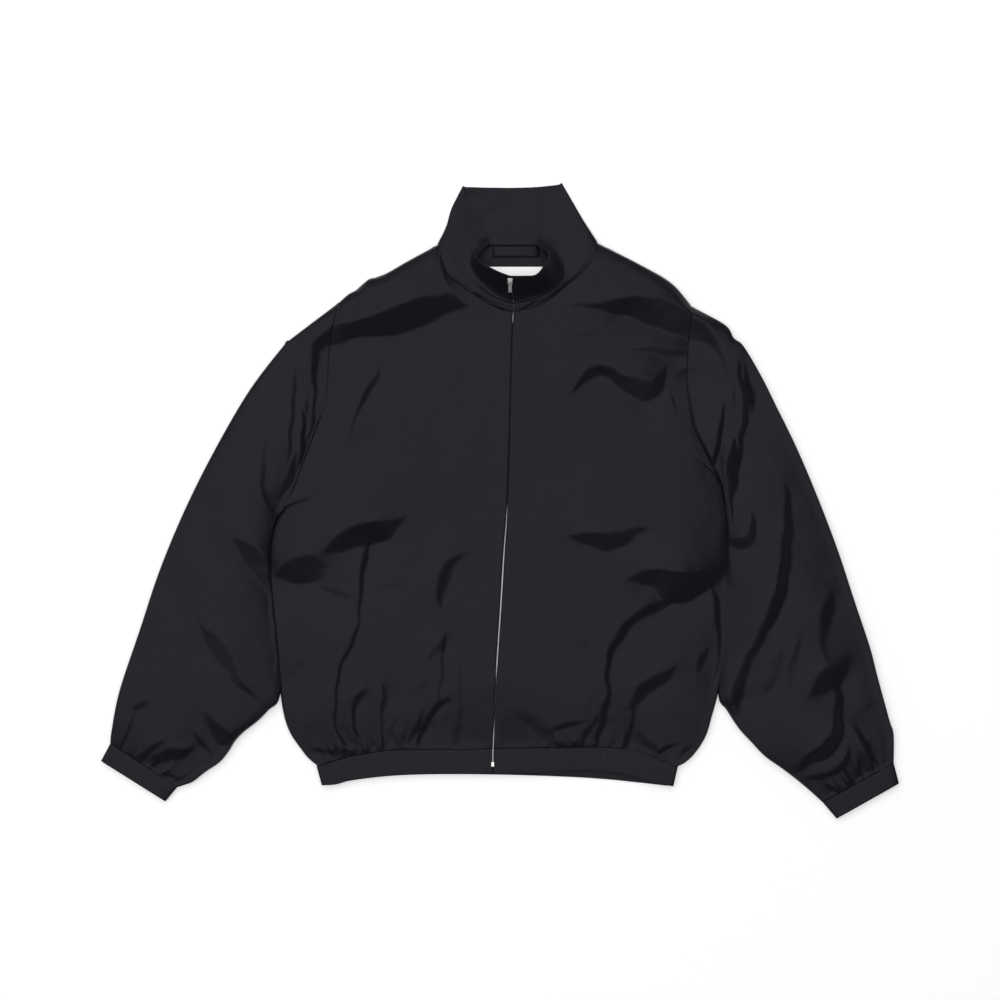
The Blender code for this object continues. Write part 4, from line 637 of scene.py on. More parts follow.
SLEEVE_FOLDS = [
    # right sleeve, armhole
    (1.3, [(-249, 44, 2.5), (-246, 61, 6.2), (-245, 78, 6.2), (-245, 97, 4.4), (-246, 113, 1.2)]),
    (0.5, [(-245, 53, 2.5), (-239, 71, 10), (-234, 91, 8.8), (-231, 111, 6.2), (-232, 128, 2.5)]),
    (0.4, [(-239, 103, 2.5), (-240, 118, 7.5), (-241, 133, 2.5)]),
    (0.42, [(-262, 48, 3.8), (-260, 76, 7.5), (-259, 107, 6.9), (-256, 136, 6.2), (-254, 163, 3.8)]),
    (0.55, [(-274, 1, 1.9), (-268, 13, 10), (-261, 28, 13.8), (-256, 43, 7.5), (-254, 56, 2.5)]),
    (0.35, [(-280, -23, 1.9), (-290, -2, 7.5), (-295, 23, 10), (-294, 53, 7.5), (-291, 81, 2.5)]),
    # right sleeve, elbow
    (0.42, [(-330, -49, 3.8), (-318, -59, 18.8), (-305, -74, 23.8), (-296, -93, 17.5), (-290, -114, 8.8),
            (-285, -143, 6.2), (-281, -181, 5), (-280, -214, 2.5)]),
    # right sleeve, forearm
    (0.36, [(-376, -147, 3.8), (-365, -167, 15), (-352, -182, 21.2), (-340, -201, 18.8), (-330, -219, 15),
            (-319, -233, 10), (-301, -247, 2.5)]),
    (0.12, [(-425, -257, 3.8), (-425, -224, 10), (-426, -187, 10), (-426, -149, 3.8)]),
    (0.12, [(-392, -289, 3.8), (-396, -262, 11.2), (-395, -237, 5)]),
    # right sleeve, over the cuff
    (0.5, [(-458, -262, 3.8), (-449, -257, 12.5), (-439, -249, 3.8)]),
    (0.5, [(-474, -312, 1.9), (-466, -294, 6.2), (-459, -277, 6.2), (-455, -262, 3.8)]),
    (0.62, [(-455, -332, 3.8), (-448, -323, 8.8), (-436, -311, 7.5), (-420, -298, 2.5)]),
    (0.42, [(-440, -337, 2.5), (-429, -323, 12.5), (-412, -318, 16.2), (-395, -314, 11.2),
            (-380, -308, 2.5)]),
    (0.5, [(-431, -346, 2.5), (-419, -343, 8.8), (-402, -347, 2.5)]),
    (0.62, [(-382, -284, 2.5), (-374, -297, 7.5), (-366, -308, 8.8), (-360, -317, 2.5)]),
    (0.5, [(-365, -264, 3.8), (-358, -279, 15), (-346, -294, 21.2), (-331, -308, 11.2)]),
    # left sleeve, armhole
    (1.3, [(264, 37, 2.5), (268, 54, 7.5), (272, 76, 8.1), (276, 98, 6.9), (280, 121, 1.9)]),
    (1.1, [(299, 36, 2.5), (300, 57, 6.9), (301, 76, 6.9), (304, 94, 6.9), (306, 116, 6.2),
            (304, 136, 5.6), (299, 156, 5), (298, 174, 1.9)]),
    (0.5, [(314, 116, 6.2), (312, 132, 12.5), (309, 151, 7.5), (304, 174, 1.9)]),
    (0.5, [(294, 112, 1.2), (292, 128, 4.4), (289, 146, 1.2)]),
    (0.7, [(288, -31, 3.8), (288, 1, 11.2), (289, 19, 16.2), (289, 38, 18.8), (290, 57, 16.2),
            (292, 78, 3.8)]),
    (0.45, [(286, -51, 7.5), (299, -53, 18.8), (310, -48, 16.2), (315, -34, 11.2), (314, -16, 3.8)]),
    # left sleeve, long fold
    (0.55, [(299, -263, 3.8), (295, -249, 16.2), (300, -226, 17.5), (308, -204, 15), (316, -187, 13.8),
            (326, -168, 16.2), (336, -148, 17.5), (344, -129, 18.8), (350, -109, 17.5), (354, -87, 15),
            (356, -62, 12.5), (359, -37, 12.5), (359, -6, 8.8), (356, 22, 1.9)]),
    (0.3, [(331, -242, 5), (339, -219, 18.8), (346, -198, 16.2), (350, -181, 3.8)]),
    (0.3, [(358, -239, 3.8), (362, -213, 12.5), (370, -186, 10), (374, -169, 2.5)]),
    # left sleeve, forearm
    (0.3, [(408, -202, 3.8), (402, -176, 10), (406, -151, 13.8), (411, -129, 16.2), (416, -117, 3.8)]),
    (0.45, [(385, -244, 3.8), (398, -233, 21.2), (411, -222, 33.8), (425, -211, 17.5), (435, -202, 3.8)]),
    # left sleeve, over the cuff
    (0.6, [(372, -336, 3.8), (385, -323, 15), (402, -314, 18.8), (416, -299, 20), (422, -282, 13.8),
            (422, -262, 10), (422, -243, 11.2), (420, -229, 5)]),
    (0.62, [(382, -346, 1.9), (402, -343, 6.2), (419, -337, 7.5), (430, -324, 8.8), (436, -307, 2.5)]),
    (0.62, [(402, -351, 1.9), (415, -361, 7.5), (429, -362, 6.2), (440, -354, 3.8), (449, -348, 1.9)]),
    (0.62, [(446, -356, 1.9), (438, -348, 7.5), (428, -338, 2.5)]),
    (0.5, [(446, -347, 2.5), (448, -333, 6.2), (448, -317, 1.9)]),
    (0.5, [(462, -334, 1.9), (459, -314, 5), (452, -301, 6.2), (445, -288, 8.8), (441, -281, 2.5)]),
    (0.5, [(475, -341, 1.9), (468, -324, 5), (461, -308, 4.4), (458, -297, 1.9)]),
    (0.2, [(452, -264, 3.8), (458, -258, 10), (464, -252, 3.8)]),
]
# Gathers over the cuff: share across the sleeve from its inner edge, width, reach, height
CUFF_GATHERS = {
    "left": [(0.1, 0.09, 34, 3.0), (0.24, 0.1, 48, 4.0), (0.4, 0.1, 60, 4.5), (0.55, 0.09, 38, 4.0),
             (0.7, 0.1, 52, 4.5), (0.85, 0.09, 30, 3.0)],
    "right": [(0.12, 0.1, 40, 4.0), (0.28, 0.11, 60, 4.0), (0.43, 0.1, 30, 3.5), (0.57, 0.1, 44, 4.0),
              (0.72, 0.1, 34, 4.0), (0.87, 0.1, 54, 3.5)],
}


def round_tube(turn):
    """Which part of one turn lies on top, and the share across the flattened tube."""
    on_top = (turn <= 0.5) | (turn > 1 - 1e-6)
    return on_top, np.where(turn <= 0.5, 2 * turn, 2 - 2 * turn)


sleeve_relief = fold_relief(SLEEVE_FOLDS)


def sleeve_surface(side, turn, down):
    """Outer face of one sleeve: turn goes once round from the inner edge over the top, down to the cuff."""
    sign = 1 if side == "left" else -1
    head = along(ARMHOLE[side]) - [sign * HEAD_UNDER, 0]
    inner, outer = along(SLEEVE_INNER[side]), along(SLEEVE_OUTER[side])
    under_body = np.clip((inner[:, 1] - SIDES_PART_Y) / PART_EASE, 0, 1)
    under_body *= np.clip(np.linspace(0, 12, len(inner)), 0, 1)
    inner[:, 0] -= sign * SIDE_UNDER * under_body
    inner[0], outer[0] = head[0], head[-1]
    wrist = np.linspace(inner[-1], outer[-1], 50)
    on_top, share = round_tube(turn)
    turned = np.cos(np.pi * share)
    share = 0.5 - 0.5 * turned * (1 - EDGE_CROWDING + EDGE_CROWDING * np.abs(turned))
    inner_share = down**INNER_LAG
    xy = patch(head, wrist, inner, outer, share, inner_share, down, (1 - down) ** 2)
    from_head = np.linalg.norm(xy - read(head, share), axis=-1)
    from_cuff = np.linalg.norm(xy - read(wrist, share), axis=-1)
    width = np.linalg.norm(read(outer, down) - read(inner, inner_share), axis=-1)
    from_edge = np.minimum(share, 1 - share) * width
    beside_body = np.clip((read(inner, inner_share)[..., 1] - SIDES_PART_Y) / PART_EASE, 0, 1)
    beside_body *= share < 0.5
    crown = SLEEVE_CROWN + (SIDE_MEET - SLEEVE_CROWN) * beside_body
    rise = settle(from_edge, EDGE_RISE, crown, table(SLEEVE_RISE, down), width / 2)
    seam_rise = armhole_height(share)
    dip = HEAD_DIP * (1 - soft(from_head, DIP_REACH))
    rise = seam_rise - dip + (rise - seam_rise) * soft(from_head, HEAD_REACH)
    wrist_rise = EDGE_RISE + (BAND_TOP - EDGE_RISE) * arch(share, BAND_SQUARENESS)
    rise = wrist_rise + (rise - wrist_rise) * soft(from_cuff, WRIST_REACH)
    own = relief_at(sleeve_relief, xy) * soft(from_head, SLEEVE_FOLDS_FROM_HEAD)
    own = own * soft(from_cuff, SLEEVE_FOLDS_FROM_CUFF) + relief_at(body_relief, xy)
    own *= soft(from_edge, SLEEVE_FOLDS_FROM_EDGE)
    gathers = gather_height(share, CUFF_GATHERS[side], from_cuff) * roll(from_cuff, GATHERS_FROM_CUFF)
    gathers *= arch(share, 2.0)
    rise = np.maximum(rise + own + gathers * CUFF_GATHER_SHARE, np.minimum(rise, EDGE_RISE))
    rim = np.minimum(EDGE_RISE, armhole_height(share) + from_head)
    beyond = soft(from_edge - PLEAT_WIDTH, PLEAT_WIDTH), soft(from_head - PLEAT_REACH, PLEAT_REACH)
    on_back = (1 - beyond[0]) * (1 - beyond[1])
    under = np.maximum(rim * (1 - roll(from_edge, EDGE_RISE)), CLOTH * on_back)
    return np.concatenate([xy, np.where(on_top, rise, under)[..., None]], axis=-1)


for side in ("left", "right"):
    sleeve = add_cloth(f"{side}_sleeve_cloth", partial(sleeve_surface, side), SLEEVE_CELLS, SLEEVE_CUT,
                       navy_satin, around=True)
    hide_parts(f"sleeve_{side}")

# -------------------------------------------------------------------------------------------- cuffs
# Doubled satin over elastic, folded at the free edge. At rest the elastic draws it into fine ripples.
BAND_WALL = 2.0
CUFF_LENGTH = 24.0
CUFF_CELLS = (220, 12)
CUFF_CUT = (0.22, 0.03)
RIPPLE_HEIGHT = 0.3
RIPPLES_PER_CUFF = 23
BAND_EDGE_ROUND = 0.7


def ripple(at, count, seed):
    """Uneven ripples of cloth over elastic: 0 to 1, count of them over one unit of at."""
    drift = 0.9 * np.sin(2.1 * at * count + seed) + 0.6 * np.sin(0.73 * at * count + 2 * seed)
    crests = (0.5 + 0.5 * np.cos(2 * np.pi * at * count + drift)) ** 1.5
    return crests * (0.65 + 0.35 * np.sin(at * count + seed))


def cuff_surface(side, turn, down):
    """Outer face of one cuff, in line with the end of its sleeve."""
    inner_top, outer_top = SLEEVE_INNER[side][-1], SLEEVE_OUTER[side][-1]
    outer_low, inner_low = CUFF_EDGE[side]
    top = np.linspace(inner_top, outer_top, 50)
    low = np.linspace(inner_low, outer_low, 50)
    on_top, share = round_tube(turn)
    share = 0.5 - 0.5 * np.cos(np.pi * share)
    fall = down[..., None]
    xy = read(top, share) * (1 - fall) + read(low, share) * fall
    width = np.linalg.norm(np.subtract(outer_low, inner_low))
    from_edge = np.minimum(share, 1 - share) * width
    rise = EDGE_RISE + (BAND_TOP - EDGE_RISE) * arch(share, BAND_SQUARENESS)
    held = np.sin(np.pi * np.clip(down, 0, 1)) ** 0.5
    rise = rise + RIPPLE_HEIGHT * ripple(share, RIPPLES_PER_CUFF, len(side)) * held * roll(from_edge, 8)
    under = EDGE_RISE * (1 - roll(from_edge, EDGE_RISE))
    return np.concatenate([xy, np.where(on_top, rise, under)[..., None]], axis=-1)


def round_edges(piece, width):
    """Rounds the cut edges of a finished wall."""
    bevel = piece.modifiers.new("edge", "BEVEL")
    bevel.width = width * MM
    bevel.segments = 3
    bevel.limit_method = "ANGLE"
    bevel.angle_limit = math.radians(60)


for side in ("left", "right"):
    cuff = add_cloth(f"{side}_cuff_cloth", partial(cuff_surface, side), CUFF_CELLS, CUFF_CUT, navy_satin,
                     wall=BAND_WALL, around=True)
    round_edges(cuff, BAND_EDGE_ROUND)
    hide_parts(f"cuff_{side}")

# ----------------------------------------------------------------------------------------- hem band
# One doubled band of satin over elastic round the whole hem, open at the zip. It lies in two layers, the back
# one a little lower.
HEM_BAND_CELLS = (560, 12)
HEM_BAND_CUT = (0.90, 0.035)
RIPPLES_IN_BAND = 92
BAND_PLACES = 150       # along each layer
HEM_ZIP_GAP = 0.8
BAND_TUCK = 1.2         # how far the band's upper edge lies under the fronts, and how much lower there
BAND_TUCK_DROP = 0.2
BAND_EDGE = {  # free edge of the front layer, from the zip to the side
    "left": [(-7.4, -341), (42, -340), (78, -337.5), (118, -337), (158, -342), (184, -350.5), (214, -356.3)],
    "right": [(-10.8, -341), (-45, -341), (-80, -340.5), (-135, -343), (-181, -348), (-204, -354),
              (-220, -355.3)],
}
HEM_BACK = [  # back layer from right to left
    ((-218, -331), (-213, -355.2)), ((-180, -321), (-180, -349)), ((-135, -315), (-135, -344)),
    ((-80, -313), (-80, -342)), ((0, -312), (0, -342.5)), ((80, -312), (80, -345)),
    ((130, -312), (130, -348)), ((170, -316), (170, -352)), ((212, -331), (208, -356.3)),
]


def hem_band_surface(round_hem, down):
    """Middle of the hem band, from the left of the zip, round the back, to its right."""
    front_height, back_height = BAND_TOP - BAND_WALL / 2, BAND_WALL / 2
    layers = []
    back_rows = HEM_BACK[::-1]
    for top, low, height in ((HEM["left"], BAND_EDGE["left"], front_height),
                             ([row[0] for row in back_rows], [row[1] for row in back_rows], back_height),
                             (HEM["right"][::-1], BAND_EDGE["right"][::-1], front_height)):
        lines = [along(line, BAND_PLACES) for line in (top, low)]
        layers.append(np.stack([np.column_stack([line, np.full(BAND_PLACES, height)]) for line in lines],
                               axis=1))
    layers[0][0, :, 0] = ZIP_LINE[1][0] + HEM_ZIP_GAP
    layers[2][-1, :, 0] = ZIP_LINE[1][0] - HEM_ZIP_GAP
    turns = []
    radius = (front_height - back_height) / 2
    for before, after, outwards in ((layers[0][-1], layers[1][0], 1), (layers[1][-1], layers[2][0], -1)):
        angles = np.linspace(0, np.pi, 12)[1:-1, None, None]
        between = before + (after - before) * (1 - np.cos(angles)) / 2
        between[..., 0] += outwards * radius * np.sin(angles[..., 0])
        turns.append(between)
    stations = np.concatenate([layers[0], turns[0], layers[1], turns[1], layers[2]])
    place = np.linspace(0, 1, len(stations))
    top, low = (np.stack([np.interp(round_hem, place, stations[:, k, axis]) for axis in range(3)], axis=-1)
                for k in range(2))
    band = top + (low - top) * down[..., None]
    on_front = np.clip((band[..., 2] - back_height) / (front_height - back_height), 0, 1)
    held = np.sin(np.pi * np.clip(down, 0, 1)) ** 0.5
    band[..., 1] += BAND_TUCK * (1 - down)
    tucked = BAND_TUCK_DROP * (1 - down) ** 8
    band[..., 2] += on_front * (RIPPLE_HEIGHT * ripple(round_hem, RIPPLES_IN_BAND, 4) * held - tucked)
    return band


hem_band = add_cloth("hem_band_cloth", hem_band_surface, HEM_BAND_CELLS, HEM_BAND_CUT, navy_satin,
                     wall=BAND_WALL, offset=0.0)
round_edges(hem_band, BAND_EDGE_ROUND)
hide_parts("hem_band")

# ------------------------------------------------------------------------------------------- collar
# A stand collar of doubled satin, closed by the zip up to its edge. Its back lies flat with its inside up,
# its sides turn over at the outline, and its front stands up round the neck.
COLLAR_WALL = 1.6
COLLAR_EDGE_ROUND = 0.6
BACK_NECK_Y = 319.5
COLLAR_CELLS = (320, 40)
COLLAR_CUT = (0.52, 0.09)
# Sections from the zip round to the fold at the side, each from the neck seam to the free edge: share of the
# neck seam from the zip, then crest, valley and free edge
COLLAR = {
    "left": [
        (0.00, (16.9, 243, 15.6), (16.6, 251, 17), (12.4, 277, 50)),
        (0.19, (43, 249, 16), (38, 256, 17), (30, 277, 49)),
        (0.35, (62, 258, 16), (56, 262, 17), (45, 279, 47)),
        (0.52, (82, 273, 16), (74, 275, 16.5), (55.5, 292, 41)),
        (0.70, (96, 288, 15.5), (77, 289, 14.5), (60.5, 304, 33)),
        (0.84, (103, 302, 14.5), (74, 302, 12), (57, 311, 25)),
        (0.94, (107, 315, 12), (73, 314, 10), (47, 317, 15)),
        (0.96, (107, 326, 9.6), (78, 327, 7.4), (48, 328, 6.5)),
        (0.975, (107, 334, 7.6), (83, 345, 4.6), (58, 353, 0.6)),
        (0.99, (108, 340, 6), (89, 360, 3.6), (68, 378, 0.6)),
    ],
    "right": [
        (0.00, (16.5, 243, 15.6), (16.0, 251, 17), (12.0, 277, 50)),
        (0.24, (-12, 252, 16), (-5, 261, 17), (-1, 282, 48)),
        (0.42, (-31, 266, 16), (-22, 275, 17), (-11, 287, 46)),
        (0.55, (-45, 275, 16), (-31, 284, 16), (-21, 293, 38)),
        (0.70, (-57, 289, 15.5), (-37, 295, 14), (-29, 303, 28)),
        (0.83, (-61, 303, 14), (-38, 305, 12), (-23, 310, 20)),
        (0.94, (-65, 315, 11.5), (-36, 317, 9.5), (-14, 320, 12)),
        (0.96, (-64, 324, 9.4), (-40, 328, 6.8), (-17, 331, 5)),
        (0.975, (-63, 334, 7.2), (-45, 347, 4), (-28, 356, 0.6)),
        (0.99, (-65, 340, 5.6), (-52, 358, 3), (-37, 376, 0.6)),
    ],
}
COLLAR_FOLD = {  # the section on the outline, where the collar turns over
    "left": ((120.6, 323, 3.4), (107.5, 343, 3.2), (92, 369, 2.8), (76, 395.5, 2.4)),
    "right": ((-77, 320.5, 3.2), (-66.5, 342, 2.6), (-60, 364, 2.2), (-45.5, 391.5, 2)),
}
COLLAR_BACK = [  # the layer on the floor, from left to right: x at the seam, x and y at the free edge
    (116.5, 72.5, 394.5), (85, 50, 392), (53, 31, 391), (22, 12, 390.6), (-10, -7, 390.8), (-42, -24, 391),
    (-73, -42, 391.6),
]
COLLAR_FLOOR = COLLAR_WALL / 2 + 0.3
COLLAR_CREASES = [
    (0.5, [(-41, 387, 3), (-36, 384, 6), (-19, 382, 2)]),
    (0.45, [(-22, 354, 3), (-17, 360, 6), (-10, 364, 5), (5, 371, 1.5)]),
    (0.2, [(-22, 332, 2), (-4, 333, 3), (12, 333, 2)]),
    (0.4, [(-78, 300, 2), (-72, 291, 5), (-64, 280, 2)]),
    (0.6, [(-44, 264, 2), (-32, 257, 5), (-16, 250, 2)]),
    (0.6, [(64, 252, 2), (72, 260, 6), (80, 271, 3)]),
    (0.5, [(24, 236, 1.5), (34, 241, 4), (46, 251, 2)]),
]
collar_relief = fold_relief(COLLAR_CREASES)


def smooth_read(values, at):
    """A smooth line through rows of points at equally spaced places, read at any share."""
    step = at * (len(values) - 1)
    i = np.clip(np.floor(step).astype(int), 0, len(values) - 2)
    padded = np.concatenate([[2 * values[0] - values[1]], values, [2 * values[-1] - values[-2]]])
    return catmull_rom(*(padded[i + k] for k in range(4)), (step - i)[:, None, None])


def bend(knots, up):
    """A smooth line through four knots, read at a share up it."""
    padded = np.concatenate([2 * knots[..., :1, :] - knots[..., 1:2, :], knots,
                             2 * knots[..., -1:, :] - knots[..., -2:-1, :]], axis=-2)
    step = up * 3
    i = np.clip(np.floor(step).astype(int), 0, 2)
    near = [np.take_along_axis(padded, (i + k)[..., None, None], axis=-2)[..., 0, :] for k in range(4)]
    return catmull_rom(*near, (step - i)[..., None])


def collar_surface(round_neck, up):
    """Middle of the collar, at shares round the neck from the left of the zip to its right, and up."""
    halves = []
    for side in ("left", "right"):
        neck = along(NECK[side][::-1])
        half = []
        for share, crest, valley, edge in COLLAR[side]:
            seam = (*read(neck, share), float(neck_height(share)) - COLLAR_WALL / 2)
            half.append([seam, crest, valley, edge])
        half.append(list(COLLAR_FOLD[side]))
        halves.append(half)
    back = []
    for seam_x, edge_x, edge_y in COLLAR_BACK:
        seam, edge = np.array([seam_x, BACK_NECK_Y]), np.array([edge_x, edge_y])
        back.append([(*(seam + (edge - seam) * part), COLLAR_FLOOR) for part in (0, 1 / 3, 2 / 3, 1)])
    rows = np.array(halves[0] + back + halves[1][::-1], float)
    places = bend(smooth_read(rows, round_neck), up)
    places[..., 2] = np.maximum(places[..., 2] + relief_at(collar_relief, places[..., :2]), COLLAR_WALL / 2)
    return places


collar = add_cloth("collar_cloth", collar_surface, COLLAR_CELLS, COLLAR_CUT, navy_satin, wall=COLLAR_WALL,
                   offset=0.0)
round_edges(collar, COLLAR_EDGE_ROUND)
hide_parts("collar")

# --------------------------------------------------------------------------------------------- back
# One panel of the same satin, flat on the floor under the fronts and sewn to their rims, to the collar and to
# the hem band. A few shallow creases run up it from the hem, as cloth has that was smoothed out by hand.
BACK_RIM = 2.2          # how far its border rises to meet the fronts' rims
BACK_INSET = 0.2
BACK_CORNER = 5.0
BACK_RIM_REACH = 6
BACK_CREASE_REACH = 30
NECK_MIDDLE, NECK_HALF, NECK_EASE = 20, 60, 20  # its border stays low along the neck
BACK_TOP_PLACES = 60
BACK_CELLS = (120, 130)
BACK_CUT = (0.57, 0.64)
BACK_CREASES = [  # on the underside, as a fold's steepness and points
    (0.05, [(-150, -290, 4), (-120, -180, 14), (-128, -60, 16), (-90, 60, 5)]),
    (0.05, [(60, -295, 4), (92, -170, 14), (70, -20, 18), (104, 120, 5)]),
    (0.04, [(-10, -280, 3), (6, -150, 12), (-8, 10, 5)]),
    (0.04, [(-190, 60, 4), (-110, 110, 16), (-10, 128, 5)]),
]

back_relief = fold_relief(BACK_CREASES)


def back_surface(across, up):
    """Upper face of the back panel, from left to right and from hem to neck and shoulders."""
    edges = []
    for side, sign in (("left", 1), ("right", -1)):
        edge = along(np.vstack([along(SIDE[side])[:-1:12], along(ARMHOLE[side])[::12]]))
        edge -= [sign * BACK_INSET, 0]
        edge[0, 1] += BACK_CORNER
        edges.append(edge)
    shoulders = [along(SHOULDER[side], BACK_TOP_PLACES) - [0, BACK_INSET] for side in ("left", "right")]
    neck_x = np.linspace(shoulders[0][-1][0], shoulders[1][-1][0], BACK_TOP_PLACES)[1:-1]
    neck = np.column_stack([neck_x, np.full(len(neck_x), BACK_NECK_Y)])
    top = along(np.vstack([shoulders[0][::6], neck[::6], shoulders[1][::-6]]))
    top[:, 1] = np.minimum(top[:, 1], BACK_NECK_Y)
    hem = along([row[0] for row in HEM_BACK[::-1]])
    top[0], top[-1] = edges[0][-1], edges[1][-1]
    hem[0], hem[-1] = edges[0][0], edges[1][0]
    xy = patch(hem, top, edges[0], edges[1], across, up, up, 1 - up)
    width = np.linalg.norm(read(edges[0], up) - read(edges[1], up), axis=-1)
    from_side = np.minimum(across, 1 - across) * width
    from_top = np.linalg.norm(xy - read(top, across), axis=-1)
    at_neck = np.clip((NECK_HALF - np.abs(xy[..., 0] - NECK_MIDDLE)) / NECK_EASE, 0, 1)
    rise = CLOTH + (BACK_RIM - CLOTH) * (1 - soft(from_side, BACK_RIM_REACH))
    top_rise = CLOTH + (BACK_RIM - CLOTH) * (1 - soft(from_top, BACK_RIM_REACH)) * (1 - at_neck)
    rise = np.maximum(rise, top_rise)
    creases = np.maximum(relief_at(back_relief, xy), 0)
    creases = creases * soft(from_side, BACK_CREASE_REACH) * soft(from_top, BACK_CREASE_REACH)
    return np.concatenate([xy, (rise + creases)[..., None]], axis=-1)


back = add_cloth("back_cloth", back_surface, BACK_CELLS, BACK_CUT, navy_satin)
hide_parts("back")

# ---------------------------------------------------------------------------------------------- zip
# Two woven tapes sewn inside the front edges, from the hem band up the collar, with a row of silver coloured
# teeth between them. The slider is at the top, and its pull tab hangs from a bridge and swings.
TAPE_WIDTH = 11.0
TAPE_WALL = 0.5
TAPE_DEPTH = 2.3        # the tape's middle under the fronts' outer face
TAPE_CELLS = (4, 220)
TAPE_BOW = {"left": 0.009, "right": 0.032}  # how it curves back with the collar, over the square of its width
TAPE_CUT = (0.0115, 0.70)
TAPE_BLACK = (0.0035, 0.0035, 0.005)
TAPE_RIB = (0.007, 0.007, 0.0095)
TOOTH_SIZE = (2.7, 0.95, 1.5)   # across the zip, along it, and through it
TOOTH_OFFSET = 0.75     # how far each tooth sits to its own side
TOOTH_PITCH = 0.75      # from each tooth to the next one, of the other side
TOOTH_DEPTH = 1.6
TOOTH_ROUND = 0.22
SILVER = (0.78, 0.78, 0.77)
DULL_SILVER = (0.62, 0.62, 0.61)
ZIP_START_Y = -341
BAND_JOINT = (-313, -309)   # the last place on the hem band, and the first on the fronts
FRONTS_END_Y = 233
ZIP_PLACES = 900
TEETH_START_Y = -330
COLLAR_START_Y = 240
SLIDER_SHARE = 0.86     # how far up the collar the teeth reach


def zip_run():
    """The middle of the zip's outer face, from the hem band to the collar's edge, and the way inwards."""
    rows = np.concatenate([np.linspace(ZIP_START_Y, BAND_JOINT[0], 12),
                           np.linspace(BAND_JOINT[1], FRONTS_END_Y, 180)])
    in_band = rows < BAND_JOINT[1]
    rise = table(FRONT_RISE, rows)
    rise = BAND_TOP + (rise - BAND_TOP) * soft(np.maximum(rows - HEM_Y, 0), HEM_REACH)
    rise = rise + (NECK_RISE - rise) * (1 - soft(236 - rows, NECK_REACH))
    face = np.column_stack([zip_x(rows), rows, np.where(in_band, BAND_TOP, rise)])
    up = np.linspace(0.05, 1, 40)
    ends = collar_surface(np.zeros(40), up), collar_surface(np.ones(40), up)
    line = along(np.vstack([face[::4], ((ends[0] + ends[1]) / 2)[::4]]), ZIP_PLACES)
    heading = np.gradient(line, axis=0)
    heading /= np.linalg.norm(heading, axis=1, keepdims=True)
    inwards = np.column_stack([np.zeros(len(line)), heading[:, 2], -heading[:, 1]])
    return line, inwards / np.linalg.norm(inwards, axis=1, keepdims=True), heading


zip_line, zip_inwards, zip_heading = zip_run()
zip_length = length(zip_line)


def tape_surface(side, across, up):
    """Middle of one zip tape, beside the teeth."""
    sign = 1 if side == "left" else -1
    place = read(zip_line + zip_inwards * TAPE_DEPTH, up * 0.99)
    place[..., 0] += sign * (0.5 + across * TAPE_WIDTH)
    in_collar = np.clip((place[..., 2] - NECK_RISE) / 10, 0, 1)
    place[..., 1] += TAPE_BOW[side] * (across * TAPE_WIDTH) ** 2 * in_collar
    return place


woven_tape, tree, shader, place = new_material("woven_tape", {"Roughness": 0.8})
ribs = add_node(tree, "TexWave", {"Vector": place["UV"], "Scale": 260, "Distortion": 0.6})
ribs.bands_direction = "Y"
tint(tree, shader, ribs, TAPE_BLACK, TAPE_RIB)
add_bump(tree, shader, ribs, 0.5, 0.0001)

for side in ("left", "right"):
    tape = add_cloth(f"{side}_tape_cloth", partial(tape_surface, side), TAPE_CELLS, TAPE_CUT, woven_tape,
                     wall=TAPE_WALL, offset=0.0)
    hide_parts(f"zip_tape_{side}")


def brushed_metal(name, rough):
    """Silver coloured metal with fine scratches and slightly dulled patches."""
    made, tree, shader, place = new_material(name, {"Metallic": 1.0})
    wear = add_node(tree, "TexNoise", {"Vector": place["Object"], "Scale": 420, "Detail": 4})
    tint(tree, shader, wear, DULL_SILVER, SILVER)
    vary_gloss(tree, shader, wear, rough - 0.08, rough + 0.12)
    add_bump(tree, shader, wear, 0.15, 0.00005)
    return made


def add_block(bm, middle, axes, size):
    """A block in millimetres, along its own axes."""
    turn = Matrix([Vector(axis) for axis in axes]).transposed().to_4x4()
    place = Matrix.Scale(MM, 4) @ Matrix.Translation(middle) @ turn @ Matrix.Diagonal((*size, 1))
    bmesh.ops.create_cube(bm, size=1, matrix=place)


def round_blocks(bm, width):
    bmesh.ops.bevel(bm, geom=bm.edges[:], offset=width * MM, segments=1, profile=0.5, affect="EDGES",
                    material=-1)


tooth_metal = brushed_metal("tooth_metal", 0.45)
slider_metal = brushed_metal("slider_metal", 0.3)

bm = bmesh.new()
steps = np.arange(0, zip_length, TOOTH_PITCH) / zip_length
spots = read(zip_line + zip_inwards * TOOTH_DEPTH, steps)
inward, forward = read(zip_inwards, steps), read(zip_heading, steps)
collar_start = np.argmax(spots[:, 1] > COLLAR_START_Y)
last = int(collar_start + (len(steps) - collar_start) * SLIDER_SHARE)
for k in range(np.argmax(spots[:, 1] > TEETH_START_Y), last):
    own_side = 1 if k % 2 else -1
    middle = Vector(spots[k]) + Vector((own_side * TOOTH_OFFSET, 0, 0))
    add_block(bm, middle, ((1, 0, 0), forward[k], -inward[k]), TOOTH_SIZE)
round_blocks(bm, TOOTH_ROUND)
teeth = finish_piece("zip_teeth", bm, tooth_metal)

for node in ("zip_slider", "zip_stop", "zip_pull"):
    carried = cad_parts[node]
    carried.data.materials.clear()
    carried.data.materials.append(slider_metal)

